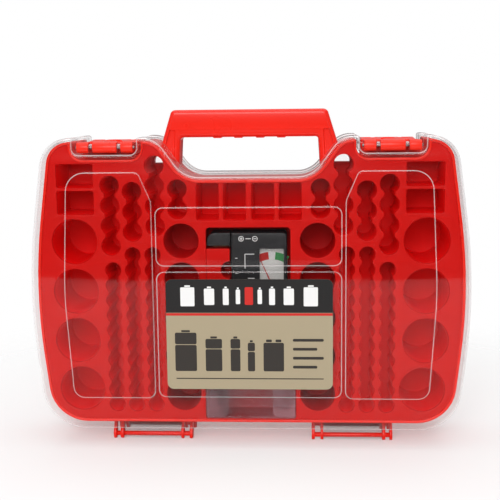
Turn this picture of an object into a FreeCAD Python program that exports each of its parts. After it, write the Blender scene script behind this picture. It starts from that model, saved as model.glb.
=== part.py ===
import FreeCAD, Part
import math
import os

# Double-sided battery case: a red moulded case with a carrying handle, clear lids front and rear, four
# latches beside the handle, cell wells behind the front lid, lying-cell bays behind the rear lid, a clear
# button cell bin and a pocketed battery tester. Millimetres. +Z up, front towards -Y, X = 0 and Y = 0 on
# the case's mid-planes, Z = 0 on the table under the hinge ears. HINGE_DROP lifts the lids' lower edge.

# ---- cells and their wells -----------------------------------------------------------------------------
D_CELL_LENGTH = 61.5
D_WELL_R = 17.8
D_PITCH = 39.8
D_COUNT = 4
D_LOW_Z = 30.3           # centre of the lowest D well, above the lids' lower edge as every height here
D_TILE_HALF = 19.2       # half width of the block around a D well
D_LAST_SHIFT = 2.2       # the lowest D wells stand this much nearer the middle
D_PROUD = 7.3            # how far a D cell stands out of the front deck
C_CELL_LENGTH = 50.0
C_WELL_R = 13.7
C_PITCH = 30.9
C_COUNT = 5
C_LOW_Z = 26.4
C_TILE_HALF = 14.6
AA_CELL_LENGTH = 50.5
AA_WELL_R = 7.57
AA_PITCH = 15.9
AA_TILE_HALF = 8.5
AA_COUNTS = (4, 3, 4, 2)                     # wells of each AA column, outermost column first
AA_LIFTS = (5.61, 4.48, 8.88, 3.53)          # from an AA column's lowest well to the well under it
AA_OVER_C = 2.35                             # innermost AA column outwards of the C column
AA_COLUMN_GAPS = (0.4, 1.0, 0.65)            # between the blocks of neighbouring AA columns
AAA_CELL_LENGTH = 44.5
AAA_WELL_R = 6.25
AAA_PITCH = 12.13
AAA_TILE_HALF = 7.7
AAA_LOW_Z = 17.6
AAA_COUNTS = (10, 11, 11)                    # wells of each AAA column, outermost column first
AAA_COLUMN_GAP = 0.4
CHANNEL_WIDTH = 8.3      # finger channel that joins the wells of a column
COLUMN_END_WALL = 1.0
NINE_V_LENGTH = 48.5
NINE_V_WIDE = 29.1
NINE_V_NARROW = 17.6
NINE_V_LYING = 18.7      # height of the two outer wells, which lie on their sides
NINE_V_INWARD = 1.8      # outer 9 V wells inwards of the D wells
NINE_V_CORNER_R = 1.5
CELL_PROUD = 7.0         # how far any other cell stands out of the front deck
CUP_FLOOR = 1.6
CUP_WALL = 1.0
HANG_HOLE_UP = 0.9       # axis of the highest AA wells down to the lower edge of their see-through part

# ---- depths, from the mid-plane --------------------------------------------------------------------------
DECK_T = 1.8
DECK_FACE = (D_CELL_LENGTH - D_PROUD + DECK_T) / 2   # outer face of the front and rear decks
BAND_LIP = 1.2                                       # the case's band stands out of the decks
BAND_FRONT = DECK_FACE + BAND_LIP
BAND_WALL = 2.2
LID_WALL = 1.8
CELL_LID_GAP = 0.3
LID_FACE = DECK_FACE + D_PROUD + CELL_LID_GAP + LID_WALL
PANEL_RISE = 0.8         # raised panels on a lid's face
PARTING = 12.3           # a lid's open edge
RIM_ROUND = 1.6          # rounding of a lid's face edge
BODY_GAP = 1.3           # lid wall to the case's band
FIT_GAP = 0.2            # between pieces seated in one another
TILE_GAP = 0.3           # between neighbouring blocks of wells

# ---- rear bays -----------------------------------------------------------------------------------------
BAY_ROWS = 12
BAY_PITCH = 15.3
BAY_LOW_Z = 8.4          # lower wall of the bays
BAY_INNER = 2.6          # mid-plane to a bay
TROUGH_R = 7.6
TROUGH_FLOOR_T = 1.4
TROUGH_LENGTH = 52.4
TROUGH_SPACE = 1.5       # between the two troughs of a row; half of it at each end
BAY_OUTER = BAY_INNER + 2 * (TROUGH_LENGTH + TROUGH_SPACE)
BAY_RIDGE_DROP = 4.6     # rear deck to the ridges between lying cells
BAY_WALL = 1.6

# ---- bin and tester ------------------------------------------------------------------------------------
TRAY_LOW = 5.9
BAY_HALF = 36.2          # bin recess
BAY_TOP = 50.0
BIN_GAP = 0.5
BIN_DEPTH = 28.0
BIN_WALL = 1.5
BIN_TAB_IN = 17.8
BIN_TAB_T = 1.2
BIN_TAB_R = 4.0
TESTER_LEFT, TESTER_SPINE, TESTER_RIGHT = -33.3, -14.2, 29.5
TESTER_LOW, TESTER_TOP = 56.5, 156.3
TESTER_FRONT = DECK_FACE - 0.4   # mid-plane to the tester's face
TESTER_T = 22.4
TESTER_SEAM = 11.0       # face to the seam between its shells
TESTER_WALL = 2.0
TESTER_CORNER_R = 3.0
FOOT_TOP = 68.0
JAW_LOW = 145.8
JAW_GAP = 0.35
JAW_TRAVEL = 3.6
JAW_TONGUE = (6.0, 26.0, 4.0)    # reach into the body, length, thickness
JAW_SETBACK = 0.3
CONTACT_T = 0.8
WINDOW_LEFT, WINDOW_RIGHT, WINDOW_LOW, WINDOW_TOP = 7.8, 27.0, 110.0, 143.6
WINDOW_T = 1.4
DIAL_DROP = 4.2          # window's outer face to the dial
DIAL_T = 0.8
PIVOT_R = 1.0
PIVOT_X, PIVOT_Z = 17.4, 114.5
NEEDLE_R = 0.5
NEEDLE_REACH = 24.0
NEEDLE_T = 0.8
NEEDLE_RUN_GAP = 0.05
SCREW_HEAD_R, SCREW_HEAD_T, SCREW_R, SCREW_LENGTH = 2.6, 1.4, 1.2, 9.0

# ---- centre tray ---------------------------------------------------------------------------------------
POCKET_LEFT = 0.6 - TESTER_LEFT
POCKET_RIGHT = TESTER_RIGHT + 2.7
POCKET_LOW = TESTER_LOW - 2.5
POCKET_TOP = TESTER_TOP + JAW_TRAVEL + 0.6
POCKET_DEPTH = 24.0
ISLAND_RIGHT = TESTER_SPINE - 1.1    # the red block under the jaw, its right side
ISLAND_TOP = JAW_LOW - 2.1
ISLAND_LOW = FOOT_TOP + 7.0
FINGER_DIP_R = 7.0
FINGER_DIP_DROP = 17.0
TRAY_HALF = max(POCKET_LEFT + 4.6, BAY_HALF + 2.3)
TRAY_TOP = POCKET_TOP + 3.5

# ---- places of the columns, from the middle outwards -----------------------------------------------------
C_X = TRAY_HALF + TILE_GAP + C_TILE_HALF
AAA_IN_X = C_X + C_TILE_HALF + 0.5 + AAA_TILE_HALF
AAA_STEP = 2 * AAA_TILE_HALF + AAA_COLUMN_GAP
AAA_X = (AAA_IN_X + 2 * AAA_STEP, AAA_IN_X + AAA_STEP, AAA_IN_X)
AA_IN_X = C_X + AA_OVER_C
AA_THIRD_X = AA_IN_X + 2 * AA_TILE_HALF + AA_COLUMN_GAPS[2]
AA_SECOND_X = AA_THIRD_X + 2 * AA_TILE_HALF + AA_COLUMN_GAPS[1]
AA_X = (AA_SECOND_X + 2 * AA_TILE_HALF + AA_COLUMN_GAPS[0], AA_SECOND_X, AA_THIRD_X, AA_IN_X)
D_X = D_TILE_HALF + max(AAA_X[0] + AAA_TILE_HALF + D_LAST_SHIFT + 1.0, AA_X[0] + AA_TILE_HALF + 1.4,
                        BAY_OUTER + BAY_WALL + D_LAST_SHIFT + 0.5)
NINE_V_SIDE_X = D_X - NINE_V_INWARD
NINE_V_FIRST_X = NINE_V_NARROW / 2 + CUP_WALL + 1.2
NINE_V_TOP_X = (NINE_V_FIRST_X, NINE_V_FIRST_X + NINE_V_NARROW + 2 * CUP_WALL + 1.6)

# ---- heights of the wells, from the bottom upwards -------------------------------------------------------
D_TOP = D_LOW_Z + (D_COUNT - 1) * D_PITCH
C_TOP = C_LOW_Z + (C_COUNT - 1) * C_PITCH
AAA_TOPS = tuple(AAA_LOW_Z + (count - 1) * AAA_PITCH + AAA_WELL_R for count in AAA_COUNTS)
AA_LOWS = tuple(below + lift + AA_WELL_R for below, lift in zip(AAA_TOPS + (C_TOP + C_WELL_R,), AA_LIFTS))
AA_TOPS = tuple(low + (count - 1) * AA_PITCH for low, count in zip(AA_LOWS, AA_COUNTS))
NINE_V_LOW_Z = D_TOP + D_PITCH / 2 + 0.45 + CUP_WALL + NINE_V_LYING / 2
NINE_V_SIDE_Z = (NINE_V_LOW_Z, NINE_V_LOW_Z + NINE_V_LYING + 2 * CUP_WALL + TILE_GAP)
NINE_V_TOP_Z = max(TRAY_TOP + 1.15, C_TOP + C_WELL_R + CUP_WALL + 0.45) + CUP_WALL + NINE_V_WIDE / 2

# ---- outline of lids and case --------------------------------------------------------------------------
HINGE_DROP = 16.0        # table to the lids' lower edge
LID_FOOT_HALF = D_X + 24.3       # half width at the lower corners' vertex
LID_WAIST_HALF = D_X + 36.76     # half width at the bulging sides' vertex
LID_WAIST_Z = 113.0              # height of that vertex
LID_HEAD_HALF = D_X + 20.5       # half width at the upper corners' vertex
VALLEY_Z = max(NINE_V_TOP_Z + NINE_V_WIDE / 2 + 5.55, AA_TOPS[3] + 10.1,
               BAY_LOW_Z + BAY_ROWS * BAY_PITCH + 8.8)     # top of the dip under the handle
LID_HEIGHT = max(max(AA_TOPS) + 21.7, NINE_V_SIDE_Z[1] + NINE_V_LYING / 2 + 20.25, VALLEY_Z + 30.2)
VALLEY_HALF = 49.0       # half width of the dip's floor vertex
SHOULDER_HALF = VALLEY_HALF + 22.0   # half width of the dip's upper vertex
FOOT_R = 34.0
WAIST_R = 440.0
HEAD_R = 23.0
SHOULDER_R = 20.0
SHOULDER_LAND = 0.5      # least flat between the shoulder's curve and a latch's notch
VALLEY_R = 22.0

# ---- latches -------------------------------------------------------------------------------------------
LATCH_X = LID_HEAD_HALF - 48.0   # latch centre from the mid-plane
NOTCH_WIDTH = 49.8       # gap in the lids' top edge for a latch
NOTCH_FLOOR = LID_HEIGHT - 12.7
NOTCH_IN_R = 5.0
NOTCH_OUT_R = 2.0
BODY_NOTCH_FLOOR = LID_HEIGHT - 17.0
BODY_NOTCH_R = 9.0
BODY_HEAD_R = 18.2
LATCH_WIDTH = 43.4
LATCH_PIN_Y = LID_FACE - 6.4     # mid-plane to the latch pin
LATCH_PIN_Z = LID_HEIGHT - 7.4
LATCH_PIN_R = 1.25
LATCH_PIN_OVERHANG = 1.4
LATCH_ROLL_R = 4.2
LATCH_PLATE_T = 2.4
LATCH_NOSE_Y = PARTING - 3.3     # mid-plane to the free edge
LATCH_RUN_GAP = 0.05     # radial, latch on pin
LUG_WIDTH = 2.4
LUG_SPREAD = 22.0        # between the two lugs of a latch
LUG_R = 3.0
LUG_GAP = 0.4            # lug to the latch's slot, each side
TAB_WIDTH = 12.0
TAB_RISE = 1.5
CATCH_HALF_Y = LATCH_NOSE_Y + 1.8
CATCH_HALF_X = 23.0
CATCH_CLEAR = 0.35

# ---- hinges --------------------------------------------------------------------------------------------
HINGE_Y = PARTING + 1.2  # mid-plane to a hinge axis
EAR_R = 4.0
EAR_FLAT_HALF = 1.5      # half width of the flat an ear stands on
AXLE_R = 1.9
AXLE_GAP = 0.06          # radial, clip on axle
CLIP_WALL = 1.6
CLIP_MOUTH = 2.6         # width of the clip's open mouth
WEB_T = 2.0
EARS = ((48.7, 51.3), (55.9, 58.2), (105.8, 108.4), (111.8, 114.0))   # ear spans along X
CLIP_SIDE_GAP = 0.4

# ---- handle --------------------------------------------------------------------------------------------
HANDLE_T = 22.0
HANDLE_TOP = LID_HEIGHT + 20.6
GRIP_UNDER = LID_HEIGHT - 1.0
HANDLE_TOP_HALF = 61.3
HANDLE_ROOT_HALF = SHOULDER_HALF + 2.0   # half width where the posts run into the case
HANDLE_ROOT_Z = VALLEY_Z + 11.2
POST_INNER_HALF = VALLEY_HALF + 5.0
HANDLE_CORNER_R = 4.0
GRIP_ROUND = 5.0
FINGER_BUMP_R = 3.2
FINGER_BUMPS = (-25.2, -8.6, 8.6, 25.2)
FINGER_BUMP_DROP = 0.9

# ---- raised panels on the lids -------------------------------------------------------------------------
MID_PANEL_HALF = 72.0
UPPER_PANEL = (131.7, VALLEY_Z - 23.4)
LOWER_PANEL = (26.5, 127.1)
PANEL_CORNER_R = 6.0
PANEL_SPACE = 2.9        # middle panels to the side panels
SIDE_PANEL_IN = MID_PANEL_HALF + PANEL_SPACE
SIDE_PANEL_TOP = LID_HEIGHT - 26.4
SIDE_PANEL = ((SIDE_PANEL_IN, 25.6, 6.0), (D_X + 2.1, 25.6, 9.0), (D_X + 7.3, 108.0, 300.0),
              (D_X + 2.7, SIDE_PANEL_TOP, 15.0), (SIDE_PANEL_IN + 9.7, SIDE_PANEL_TOP, 5.0),
              (SIDE_PANEL_IN, SIDE_PANEL_TOP - 22.6, 10.0))
LABEL_HALF = 65.1
LABEL_LOW = 33.4
LABEL_TOP = 121.4
LABEL_R = 5.0
LABEL_T = 0.3

INSET_BODY = LID_WALL + BODY_GAP
Y_AXIS = FreeCAD.Vector(0, 1, 0)


# ---- shape helpers -------------------------------------------------------------------------------------
def up(z):
    """A height above the lids' lower edge as a height above the table."""
    return z + HINGE_DROP


def vec(x, y, z):
    return FreeCAD.Vector(x, y, z)


def mirrored(points):
    """A closed loop of (x, z, radius) from its right half, which runs from the bottom to the top."""
    return list(points) + [(-x, z, r) for x, z, r in reversed(points)]


def inset(points, distance):
    """The loop moved inwards by a distance. Its points run anticlockwise seen from the front."""
    moved = []
    for k, (x, z, r) in enumerate(points):
        (xa, za, _), (xb, zb, _) = points[k - 1], points[(k + 1) % len(points)]
        ua, ub = math.hypot(x - xa, z - za), math.hypot(xb - x, zb - z)
        ax, az, bx, bz = (x - xa) / ua, (z - za) / ua, (xb - x) / ub, (zb - z) / ub
        turn = ax * bz - az * bx
        along = ax * bx + az * bz
        scale = distance / (1 + along)
        radius = r - distance if turn > 0 else r + distance
        moved.append((x - scale * (az + bz), z + scale * (ax + bx), max(radius, 0.15)))
    return moved


def loop_face(points, y):
    """A face across Y from a loop of (x, z above the lids' lower edge, corner radius)."""
    edges, ends = [], []
    for k, (x, z, r) in enumerate(points):
        (xa, za, _), (xb, zb, _) = points[k - 1], points[(k + 1) % len(points)]
        ua, ub = math.hypot(xa - x, za - z), math.hypot(xb - x, zb - z)
        ax, az, bx, bz = (xa - x) / ua, (za - z) / ua, (xb - x) / ub, (zb - z) / ub
        half = math.acos(max(-1.0, min(1.0, ax * bx + az * bz))) / 2
        back = r / math.tan(half)
        mx, mz = ax + bx, az + bz
        length = math.hypot(mx, mz)
        middle = r / math.sin(half) - r
        ends.append((vec(x + ax * back, y, up(z + az * back)), vec(x + bx * back, y, up(z + bz * back)),
                     vec(x + mx / length * middle, y, up(z + mz / length * middle))))
    for k, (start, end, middle) in enumerate(ends):
        edges.append(Part.Arc(start, middle, end).toShape())
        following = ends[(k + 1) % len(ends)][0]
        if end.distanceToPoint(following) > 1e-6:
            edges.append(Part.makeLine(end, following))
    return Part.Face(Part.Wire(edges))


def slab(points, y_from, y_to):
    """The loop extruded along Y."""
    return loop_face(points, y_from).extrude(Y_AXIS * (y_to - y_from))


def rectangle(x_from, x_to, z_from, z_to, r):
    return [(x_from, z_from, r), (x_to, z_from, r), (x_to, z_to, r), (x_from, z_to, r)]


def block(x_from, x_to, y_from, y_to, z_from, z_to):
    """A plain box, its heights measured from the lids' lower edge."""
    return Part.makeBox(x_to - x_from, y_to - y_from, z_to - z_from, vec(x_from, y_from, up(z_from)))


def rod_y(x, z, r, y_from, y_to):
    return Part.makeCylinder(r, y_to - y_from, vec(x, y_from, up(z)), Y_AXIS)


def rod_x(y, z, r, x_from, x_to):
    return Part.makeCylinder(r, x_to - x_from, vec(x_from, y, up(z)), vec(1, 0, 0))


def side_profile(points, x_from, x_to):
    """A polygon of (y, z above the lids' lower edge) extruded along X."""
    loop = [vec(x_from, y, up(z)) for y, z in points]
    return Part.Face(Part.makePolygon(loop + loop[:1])).extrude(vec(x_to - x_from, 0, 0))


def fused(shapes):
    return shapes[0].multiFuse(shapes[1:]).removeSplitter() if len(shapes) > 1 else shapes[0]


def flipped(shape):
    """The same shape on the other side, left for right."""
    return shape.mirror(vec(0, 0, 0), vec(1, 0, 0))


def turned_back(shape):
    """The same shape on the rear side."""
    return shape.mirror(vec(0, 0, 0), vec(0, 1, 0))


def both_sides(shapes):
    return shapes + [flipped(s) for s in shapes]


def save(name, shapes):
    """Writes one node as STEP: a solid, or a group of solids."""
    solids = [solid for shape in shapes for solid in shape.Solids]
    shape = solids[0] if len(solids) == 1 else Part.makeCompound(solids)
    if not all(solid.isValid() and solid.Volume > 0.1 for solid in solids):
        raise ValueError(name + " has an invalid solid")
    shape.exportStep(os.path.join("parts", name + ".step"))
    print(name, len(solids), "solids", round(sum(s.Volume for s in solids) / 1000, 2), "cm3")


# ---- outlines ------------------------------------------------------------------------------------------
def shoulder_radius():
    """SHOULDER_R, or less where the top edge beside a latch's notch is too short for it."""
    slope = math.atan2(LID_HEIGHT - VALLEY_Z, SHOULDER_HALF - VALLEY_HALF)
    room = LATCH_X - NOTCH_WIDTH / 2 - NOTCH_OUT_R - SHOULDER_HALF - SHOULDER_LAND
    return min(SHOULDER_R, room / math.tan(slope / 2))


def base_outline(distance, head_r):
    """Half of the lids' outline without latch notches, moved inwards."""
    full = inset(mirrored([
        (LID_FOOT_HALF, 0.0, FOOT_R), (LID_WAIST_HALF, LID_WAIST_Z, WAIST_R),
        (LID_HEAD_HALF, LID_HEIGHT, HEAD_R), (SHOULDER_HALF, LID_HEIGHT, shoulder_radius()),
        (VALLEY_HALF, VALLEY_Z, VALLEY_R)]), distance)
    half = full[:5]
    half[2] = (half[2][0], half[2][1], head_r)
    return half


def notched(half, x_inner, x_outer, floor, in_r, out_r):
    """The half outline with a notch cut into its top edge, as a whole loop."""
    top = half[2][1]
    notch = [(x_outer, top, out_r), (x_outer, floor, in_r), (x_inner, floor, in_r), (x_inner, top, out_r)]
    return mirrored(half[:3] + notch + half[3:])


def lid_outline():
    side = NOTCH_WIDTH / 2
    return notched(base_outline(0.0, HEAD_R), LATCH_X - side, LATCH_X + side, NOTCH_FLOOR,
                   NOTCH_IN_R, NOTCH_OUT_R)


def case_slab(distance, y_from, y_to):
    """The case's outline with its latch notches, moved inwards by a distance and extruded along Y."""
    solid = slab(mirrored(base_outline(INSET_BODY + distance, BODY_HEAD_R - distance)), y_from, y_to)
    side = NOTCH_WIDTH / 2 + INSET_BODY - 0.5 + distance
    notch = slab(rectangle(LATCH_X - side, LATCH_X + side, BODY_NOTCH_FLOOR - distance,
                           LID_HEIGHT + NOTCH_WIDTH, BODY_NOTCH_R + distance), y_from - 1, y_to + 1)
    return solid.cut(Part.makeCompound(both_sides([notch])))


# ---- wells ---------------------------------------------------------------------------------------------
def d_wells():
    """(x, z) of the D wells of the right side."""
    rows = [(D_X, D_TOP - k * D_PITCH) for k in range(round(D_COUNT))]
    rows[-1] = (D_X - D_LAST_SHIFT, rows[-1][1])
    return rows


def c_wells():
    return [(C_X, C_TOP - k * C_PITCH) for k in range(round(C_COUNT))]


def aa_columns():
    """(x, heights of the wells) for each AA column of the right side."""
    return [(x, [top - k * AA_PITCH for k in range(round(count))])
            for x, top, count in zip(AA_X, AA_TOPS, AA_COUNTS)]


def aaa_columns():
    """(x, heights of the wells) for each AAA column of the right side."""
    return [(x, [AAA_LOW_Z + k * AAA_PITCH for k in range(round(count))])
            for x, count in zip(AAA_X, AAA_COUNTS)]


def nine_volt_wells():
    """(x, z, half width, half height) of the 9 V wells of the right side."""
    wells = [(NINE_V_SIDE_X, z, NINE_V_WIDE / 2, NINE_V_LYING / 2) for z in reversed(NINE_V_SIDE_Z)]
    return wells + [(x, NINE_V_TOP_Z, NINE_V_NARROW / 2, NINE_V_WIDE / 2) for x in NINE_V_TOP_X]


def column_cut(x, heights, r, y_from, y_to):
    """The hollow of a column: round wells joined by a finger channel."""
    rounds = [rod_y(x, z, r, y_from, y_to) for z in heights]
    channel = block(x - CHANNEL_WIDTH / 2, x + CHANNEL_WIDTH / 2, y_from, y_to, min(heights), max(heights))
    return fused(rounds + [channel])


def cup_depth(cell_length):
    """Front deck to the floor of a well."""
    return cell_length - CELL_PROUD


def deck_back():
    return -DECK_FACE + DECK_T


def d_cup(x, z):
    """A D cup runs from the front deck to the rear deck, which is its floor."""
    tile = block(x - D_TILE_HALF, x + D_TILE_HALF, deck_back(), DECK_FACE - DECK_T,
                 z - D_PITCH / 2 + TILE_GAP / 2, z + D_PITCH / 2 - TILE_GAP / 2)
    return tile.cut(rod_y(x, z, D_WELL_R, -DECK_FACE, DECK_FACE))


def c_cup(x, z, others):
    """A C cup, its block cut back where other racks stand in its corners."""
    floor = -DECK_FACE + cup_depth(C_CELL_LENGTH)
    top = z + min(C_PITCH / 2 - TILE_GAP / 2, C_WELL_R + CUP_WALL)
    tile = block(x - C_TILE_HALF, x + C_TILE_HALF, deck_back(), floor + CUP_FLOOR,
                 z - C_PITCH / 2 + TILE_GAP / 2, top)
    cup = tile.cut(rod_y(x, z, C_WELL_R, -DECK_FACE, floor)).cut(others)
    return max(cup.Solids, key=lambda solid: solid.Volume)


def nine_volt_cup(x, z, half_x, half_z):
    floor = -DECK_FACE + cup_depth(NINE_V_LENGTH)
    tile = block(x - half_x - CUP_WALL, x + half_x + CUP_WALL, deck_back(), floor + CUP_FLOOR,
                 z - half_z - CUP_WALL, z + half_z + CUP_WALL)
    hollow = slab(rectangle(x - half_x, x + half_x, z - half_z, z + half_z, NINE_V_CORNER_R),
                  -DECK_FACE, floor)
    return tile.cut(hollow)


def column_rack(x, heights, r, tile_half, depth):
    """The walls of one column, each a solid of its own: cusps left and right of every space between wells,
    half cusps at the ends, two end walls and a floor."""
    floor = -DECK_FACE + depth
    low, high = min(heights) - r + 0.4, max(heights) + r - 0.4
    hollow = column_cut(x, heights, r, -DECK_FACE, floor)
    stops = [low] + sorted(heights) + [high]
    channel = CHANNEL_WIDTH / 2
    pieces = []
    for z_from, z_to in zip(stops, stops[1:]):
        for x_from, x_to in ((x - tile_half, x - channel), (x + channel, x + tile_half)):
            pieces.append(block(x_from, x_to, deck_back(), floor, z_from, z_to).cut(hollow))
    for z_from, z_to in ((low - 0.4 - COLUMN_END_WALL, low), (high, high + 0.4 + COLUMN_END_WALL)):
        pieces.append(block(x - tile_half, x + tile_half, deck_back(), floor, z_from, z_to).cut(hollow))
    pieces.append(block(x - tile_half, x + tile_half, floor, floor + CUP_FLOOR,
                        low - 0.4 - COLUMN_END_WALL, high + 0.4 + COLUMN_END_WALL))
    return pieces


def hang_hole(x, z, y_from, y_to):
    """The see-through upper part of the highest AA wells."""
    hole = rod_y(x, z, AA_WELL_R - 0.3, y_from, y_to)
    return hole.common(block(x - AA_WELL_R, x + AA_WELL_R, y_from, y_to, z - HANG_HOLE_UP, z + AA_WELL_R))


def highest_aa():
    x, heights = max(aa_columns(), key=lambda column: max(column[1]))
    return x, max(heights)


# ---- case ----------------------------------------------------------------------------------------------
def rear_bay(x_inner, x_outer):
    """(the solid around a bay, the bay's hollow) for lying cells behind the rear deck."""
    height = BAY_ROWS * BAY_PITCH
    trough_y = DECK_FACE + 0.3
    back = trough_y - TROUGH_R - TROUGH_FLOOR_T
    solid = block(x_inner - BAY_WALL, x_outer + BAY_WALL, back, DECK_FACE, BAY_LOW_Z - BAY_WALL,
                  BAY_LOW_Z + height + BAY_WALL)
    hollow = [block(x_inner, x_outer, DECK_FACE - BAY_RIDGE_DROP, DECK_FACE + 1, BAY_LOW_Z,
                    BAY_LOW_Z + height)]
    middle = (x_inner + x_outer) / 2
    for row in range(round(BAY_ROWS)):
        z = BAY_LOW_Z + BAY_PITCH * (row + 0.5)
        for x_from in (middle - TROUGH_SPACE / 2 - TROUGH_LENGTH, middle + TROUGH_SPACE / 2):
            hollow.append(rod_x(trough_y, z, TROUGH_R, x_from, x_from + TROUGH_LENGTH))
    return solid, fused(hollow)


def handle():
    """The fixed handle: a rounded grip on two splayed posts."""
    outer = mirrored([(HANDLE_ROOT_HALF - 18.0, HANDLE_ROOT_Z - 14.0, 1.0),
                      (HANDLE_ROOT_HALF, HANDLE_ROOT_Z, 1.0),
                      (HANDLE_TOP_HALF, HANDLE_TOP, HANDLE_CORNER_R)])
    solid = slab(outer, -HANDLE_T / 2, HANDLE_T / 2)
    window = rectangle(-POST_INNER_HALF, POST_INNER_HALF, VALLEY_Z / 2, GRIP_UNDER, 2.5)
    solid = solid.cut(slab(window, -HANDLE_T, HANDLE_T))
    half, bevel = HANDLE_T / 2, GRIP_ROUND * 0.6
    solid = solid.common(side_profile([(-half, HANDLE_ROOT_Z - 20), (half, HANDLE_ROOT_Z - 20),
                                       (half, HANDLE_TOP - bevel), (half - bevel, HANDLE_TOP),
                                       (bevel - half, HANDLE_TOP), (-half, HANDLE_TOP - bevel)],
                                      -HANDLE_ROOT_HALF, HANDLE_ROOT_HALF))
    for side in (-1, 1):
        under = [(side * half, GRIP_UNDER - 1), (side * half, GRIP_UNDER + bevel),
                 (side * (half - bevel), GRIP_UNDER), (side * (half - bevel), GRIP_UNDER - 1)]
        solid = solid.cut(side_profile(under, 5 - POST_INNER_HALF, POST_INNER_HALF - 5))
    bumps = [rod_y(x, GRIP_UNDER + FINGER_BUMP_R - FINGER_BUMP_DROP, FINGER_BUMP_R, -HANDLE_T * 0.3,
                   HANDLE_T * 0.3) for x in FINGER_BUMPS]
    return fused([solid] + bumps)


def ear(x_from, x_to):
    """A hinge ear: a round lobe about the hinge axis with a flat to stand on, on a root under the band."""
    axis_z = -HINGE_DROP + EAR_R
    root = INSET_BODY + 0.6
    plate = side_profile([(-HINGE_Y - EAR_R, axis_z), (-HINGE_Y + EAR_R, axis_z),
                          (-PARTING + 5.5, root), (-PARTING + 0.5, root), (-PARTING + 0.5, -0.8),
                          (-HINGE_Y - EAR_R * 0.5, axis_z + EAR_R)], x_from, x_to)
    flat = block(x_from, x_to, -HINGE_Y - EAR_FLAT_HALF, -HINGE_Y + EAR_FLAT_HALF, -HINGE_DROP, axis_z)
    return fused([plate, flat, rod_x(-HINGE_Y, axis_z, EAR_R, x_from, x_to)])


def hinge_ears():
    """Front right ears with their axle, then mirrored to the four hinge units."""
    ears = [ear(*span) for span in EARS]
    axle = rod_x(-HINGE_Y, -HINGE_DROP + EAR_R, AXLE_R, EARS[0][0] + 0.5, EARS[-1][1] - 0.5)
    unit = fused(ears + [axle])
    front = both_sides([unit])
    return front + [turned_back(shape) for shape in front]


def catch():
    """The block between a front and a rear latch, on the floor of the case's own notch."""
    top = LATCH_PIN_Z + LATCH_ROLL_R - LATCH_PLATE_T - CATCH_CLEAR
    return block(LATCH_X - CATCH_HALF_X, LATCH_X + CATCH_HALF_X, -CATCH_HALF_Y, CATCH_HALF_Y,
                 BODY_NOTCH_FLOOR - 1.0, top)


def case_body():
    solid = case_slab(0.0, -BAND_FRONT, BAND_FRONT)
    solid = solid.cut(case_slab(BAND_WALL, -BAND_FRONT - 1, DECK_FACE - DECK_T))
    solid = solid.cut(case_slab(BAND_WALL, DECK_FACE, BAND_FRONT + 1))
    grip = handle().cut(case_slab(0.6, -BAND_FRONT, BAND_FRONT))
    bays = [rear_bay(BAY_INNER, BAY_OUTER)]
    bays.append(tuple(flipped(shape) for shape in bays[0]))
    solid = fused([solid, grip] + both_sides([catch()]) + hinge_ears() + [walls for walls, _ in bays])
    for _, hollow in bays:
        solid = solid.cut(hollow)
    x, z = highest_aa()
    for side in (x, -x):
        solid = solid.cut(hang_hole(side, z, 0.0, BAND_FRONT))
    return solid


def front_deck():
    """The front deck: a sheet with every well's mouth."""
    solid = case_slab(BAND_WALL + FIT_GAP, -DECK_FACE, deck_back())
    cuts = [rod_y(x, z, D_WELL_R, -BAND_FRONT, 0) for x, z in d_wells()]
    cuts += [rod_y(x, z, C_WELL_R, -BAND_FRONT, 0) for x, z in c_wells()]
    cuts += [column_cut(x, zs, AA_WELL_R, -BAND_FRONT, 0) for x, zs in aa_columns()]
    cuts += [column_cut(x, zs, AAA_WELL_R, -BAND_FRONT, 0) for x, zs in aaa_columns()]
    cuts += [slab(rectangle(x - a, x + a, z - b, z + b, NINE_V_CORNER_R), -BAND_FRONT, 0)
             for x, z, a, b in nine_volt_wells()]
    cuts = both_sides(cuts) + [pocket_hollow(), bin_hollow()]
    solid = solid.cut(Part.makeCompound(cuts))
    return solid.fuse(tester_island().common(block(-TRAY_HALF, TRAY_HALF, -DECK_FACE, deck_back(),
                                                   0, TRAY_TOP)))


def pocket_hollow():
    return slab(rectangle(-POCKET_LEFT, POCKET_RIGHT, POCKET_LOW, POCKET_TOP, 3.0), -DECK_FACE,
                -DECK_FACE + POCKET_DEPTH)


def bin_hollow():
    return slab(rectangle(-BAY_HALF, BAY_HALF, TRAY_LOW, BAY_TOP, 2.0), -DECK_FACE,
                -DECK_FACE + BIN_DEPTH + BIN_GAP)


def tester_island():
    """The red block that fills the pocket under the tester's jaw, with a finger dip."""
    solid = slab(rectangle(-POCKET_LEFT - 0.01, ISLAND_RIGHT, ISLAND_LOW, ISLAND_TOP, 1.0), -DECK_FACE,
                 -DECK_FACE + POCKET_DEPTH)
    dip = rod_y(ISLAND_RIGHT, ISLAND_TOP - FINGER_DIP_DROP, FINGER_DIP_R, -DECK_FACE,
                -DECK_FACE + POCKET_DEPTH)
    return solid.cut(dip)


def centre_tray():
    """The middle block behind the front deck, with the tester's pocket and the bin's recess."""
    depth = -DECK_FACE + BIN_DEPTH + BIN_GAP + CUP_FLOOR
    solid = block(-TRAY_HALF, TRAY_HALF, deck_back(), depth, TRAY_LOW + 0.4, TRAY_TOP)
    solid = solid.cut(pocket_hollow()).cut(bin_hollow())
    island = tester_island().common(block(-TRAY_HALF, TRAY_HALF, deck_back(), 0, 0, TRAY_TOP))
    return fused([solid, island])


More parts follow.
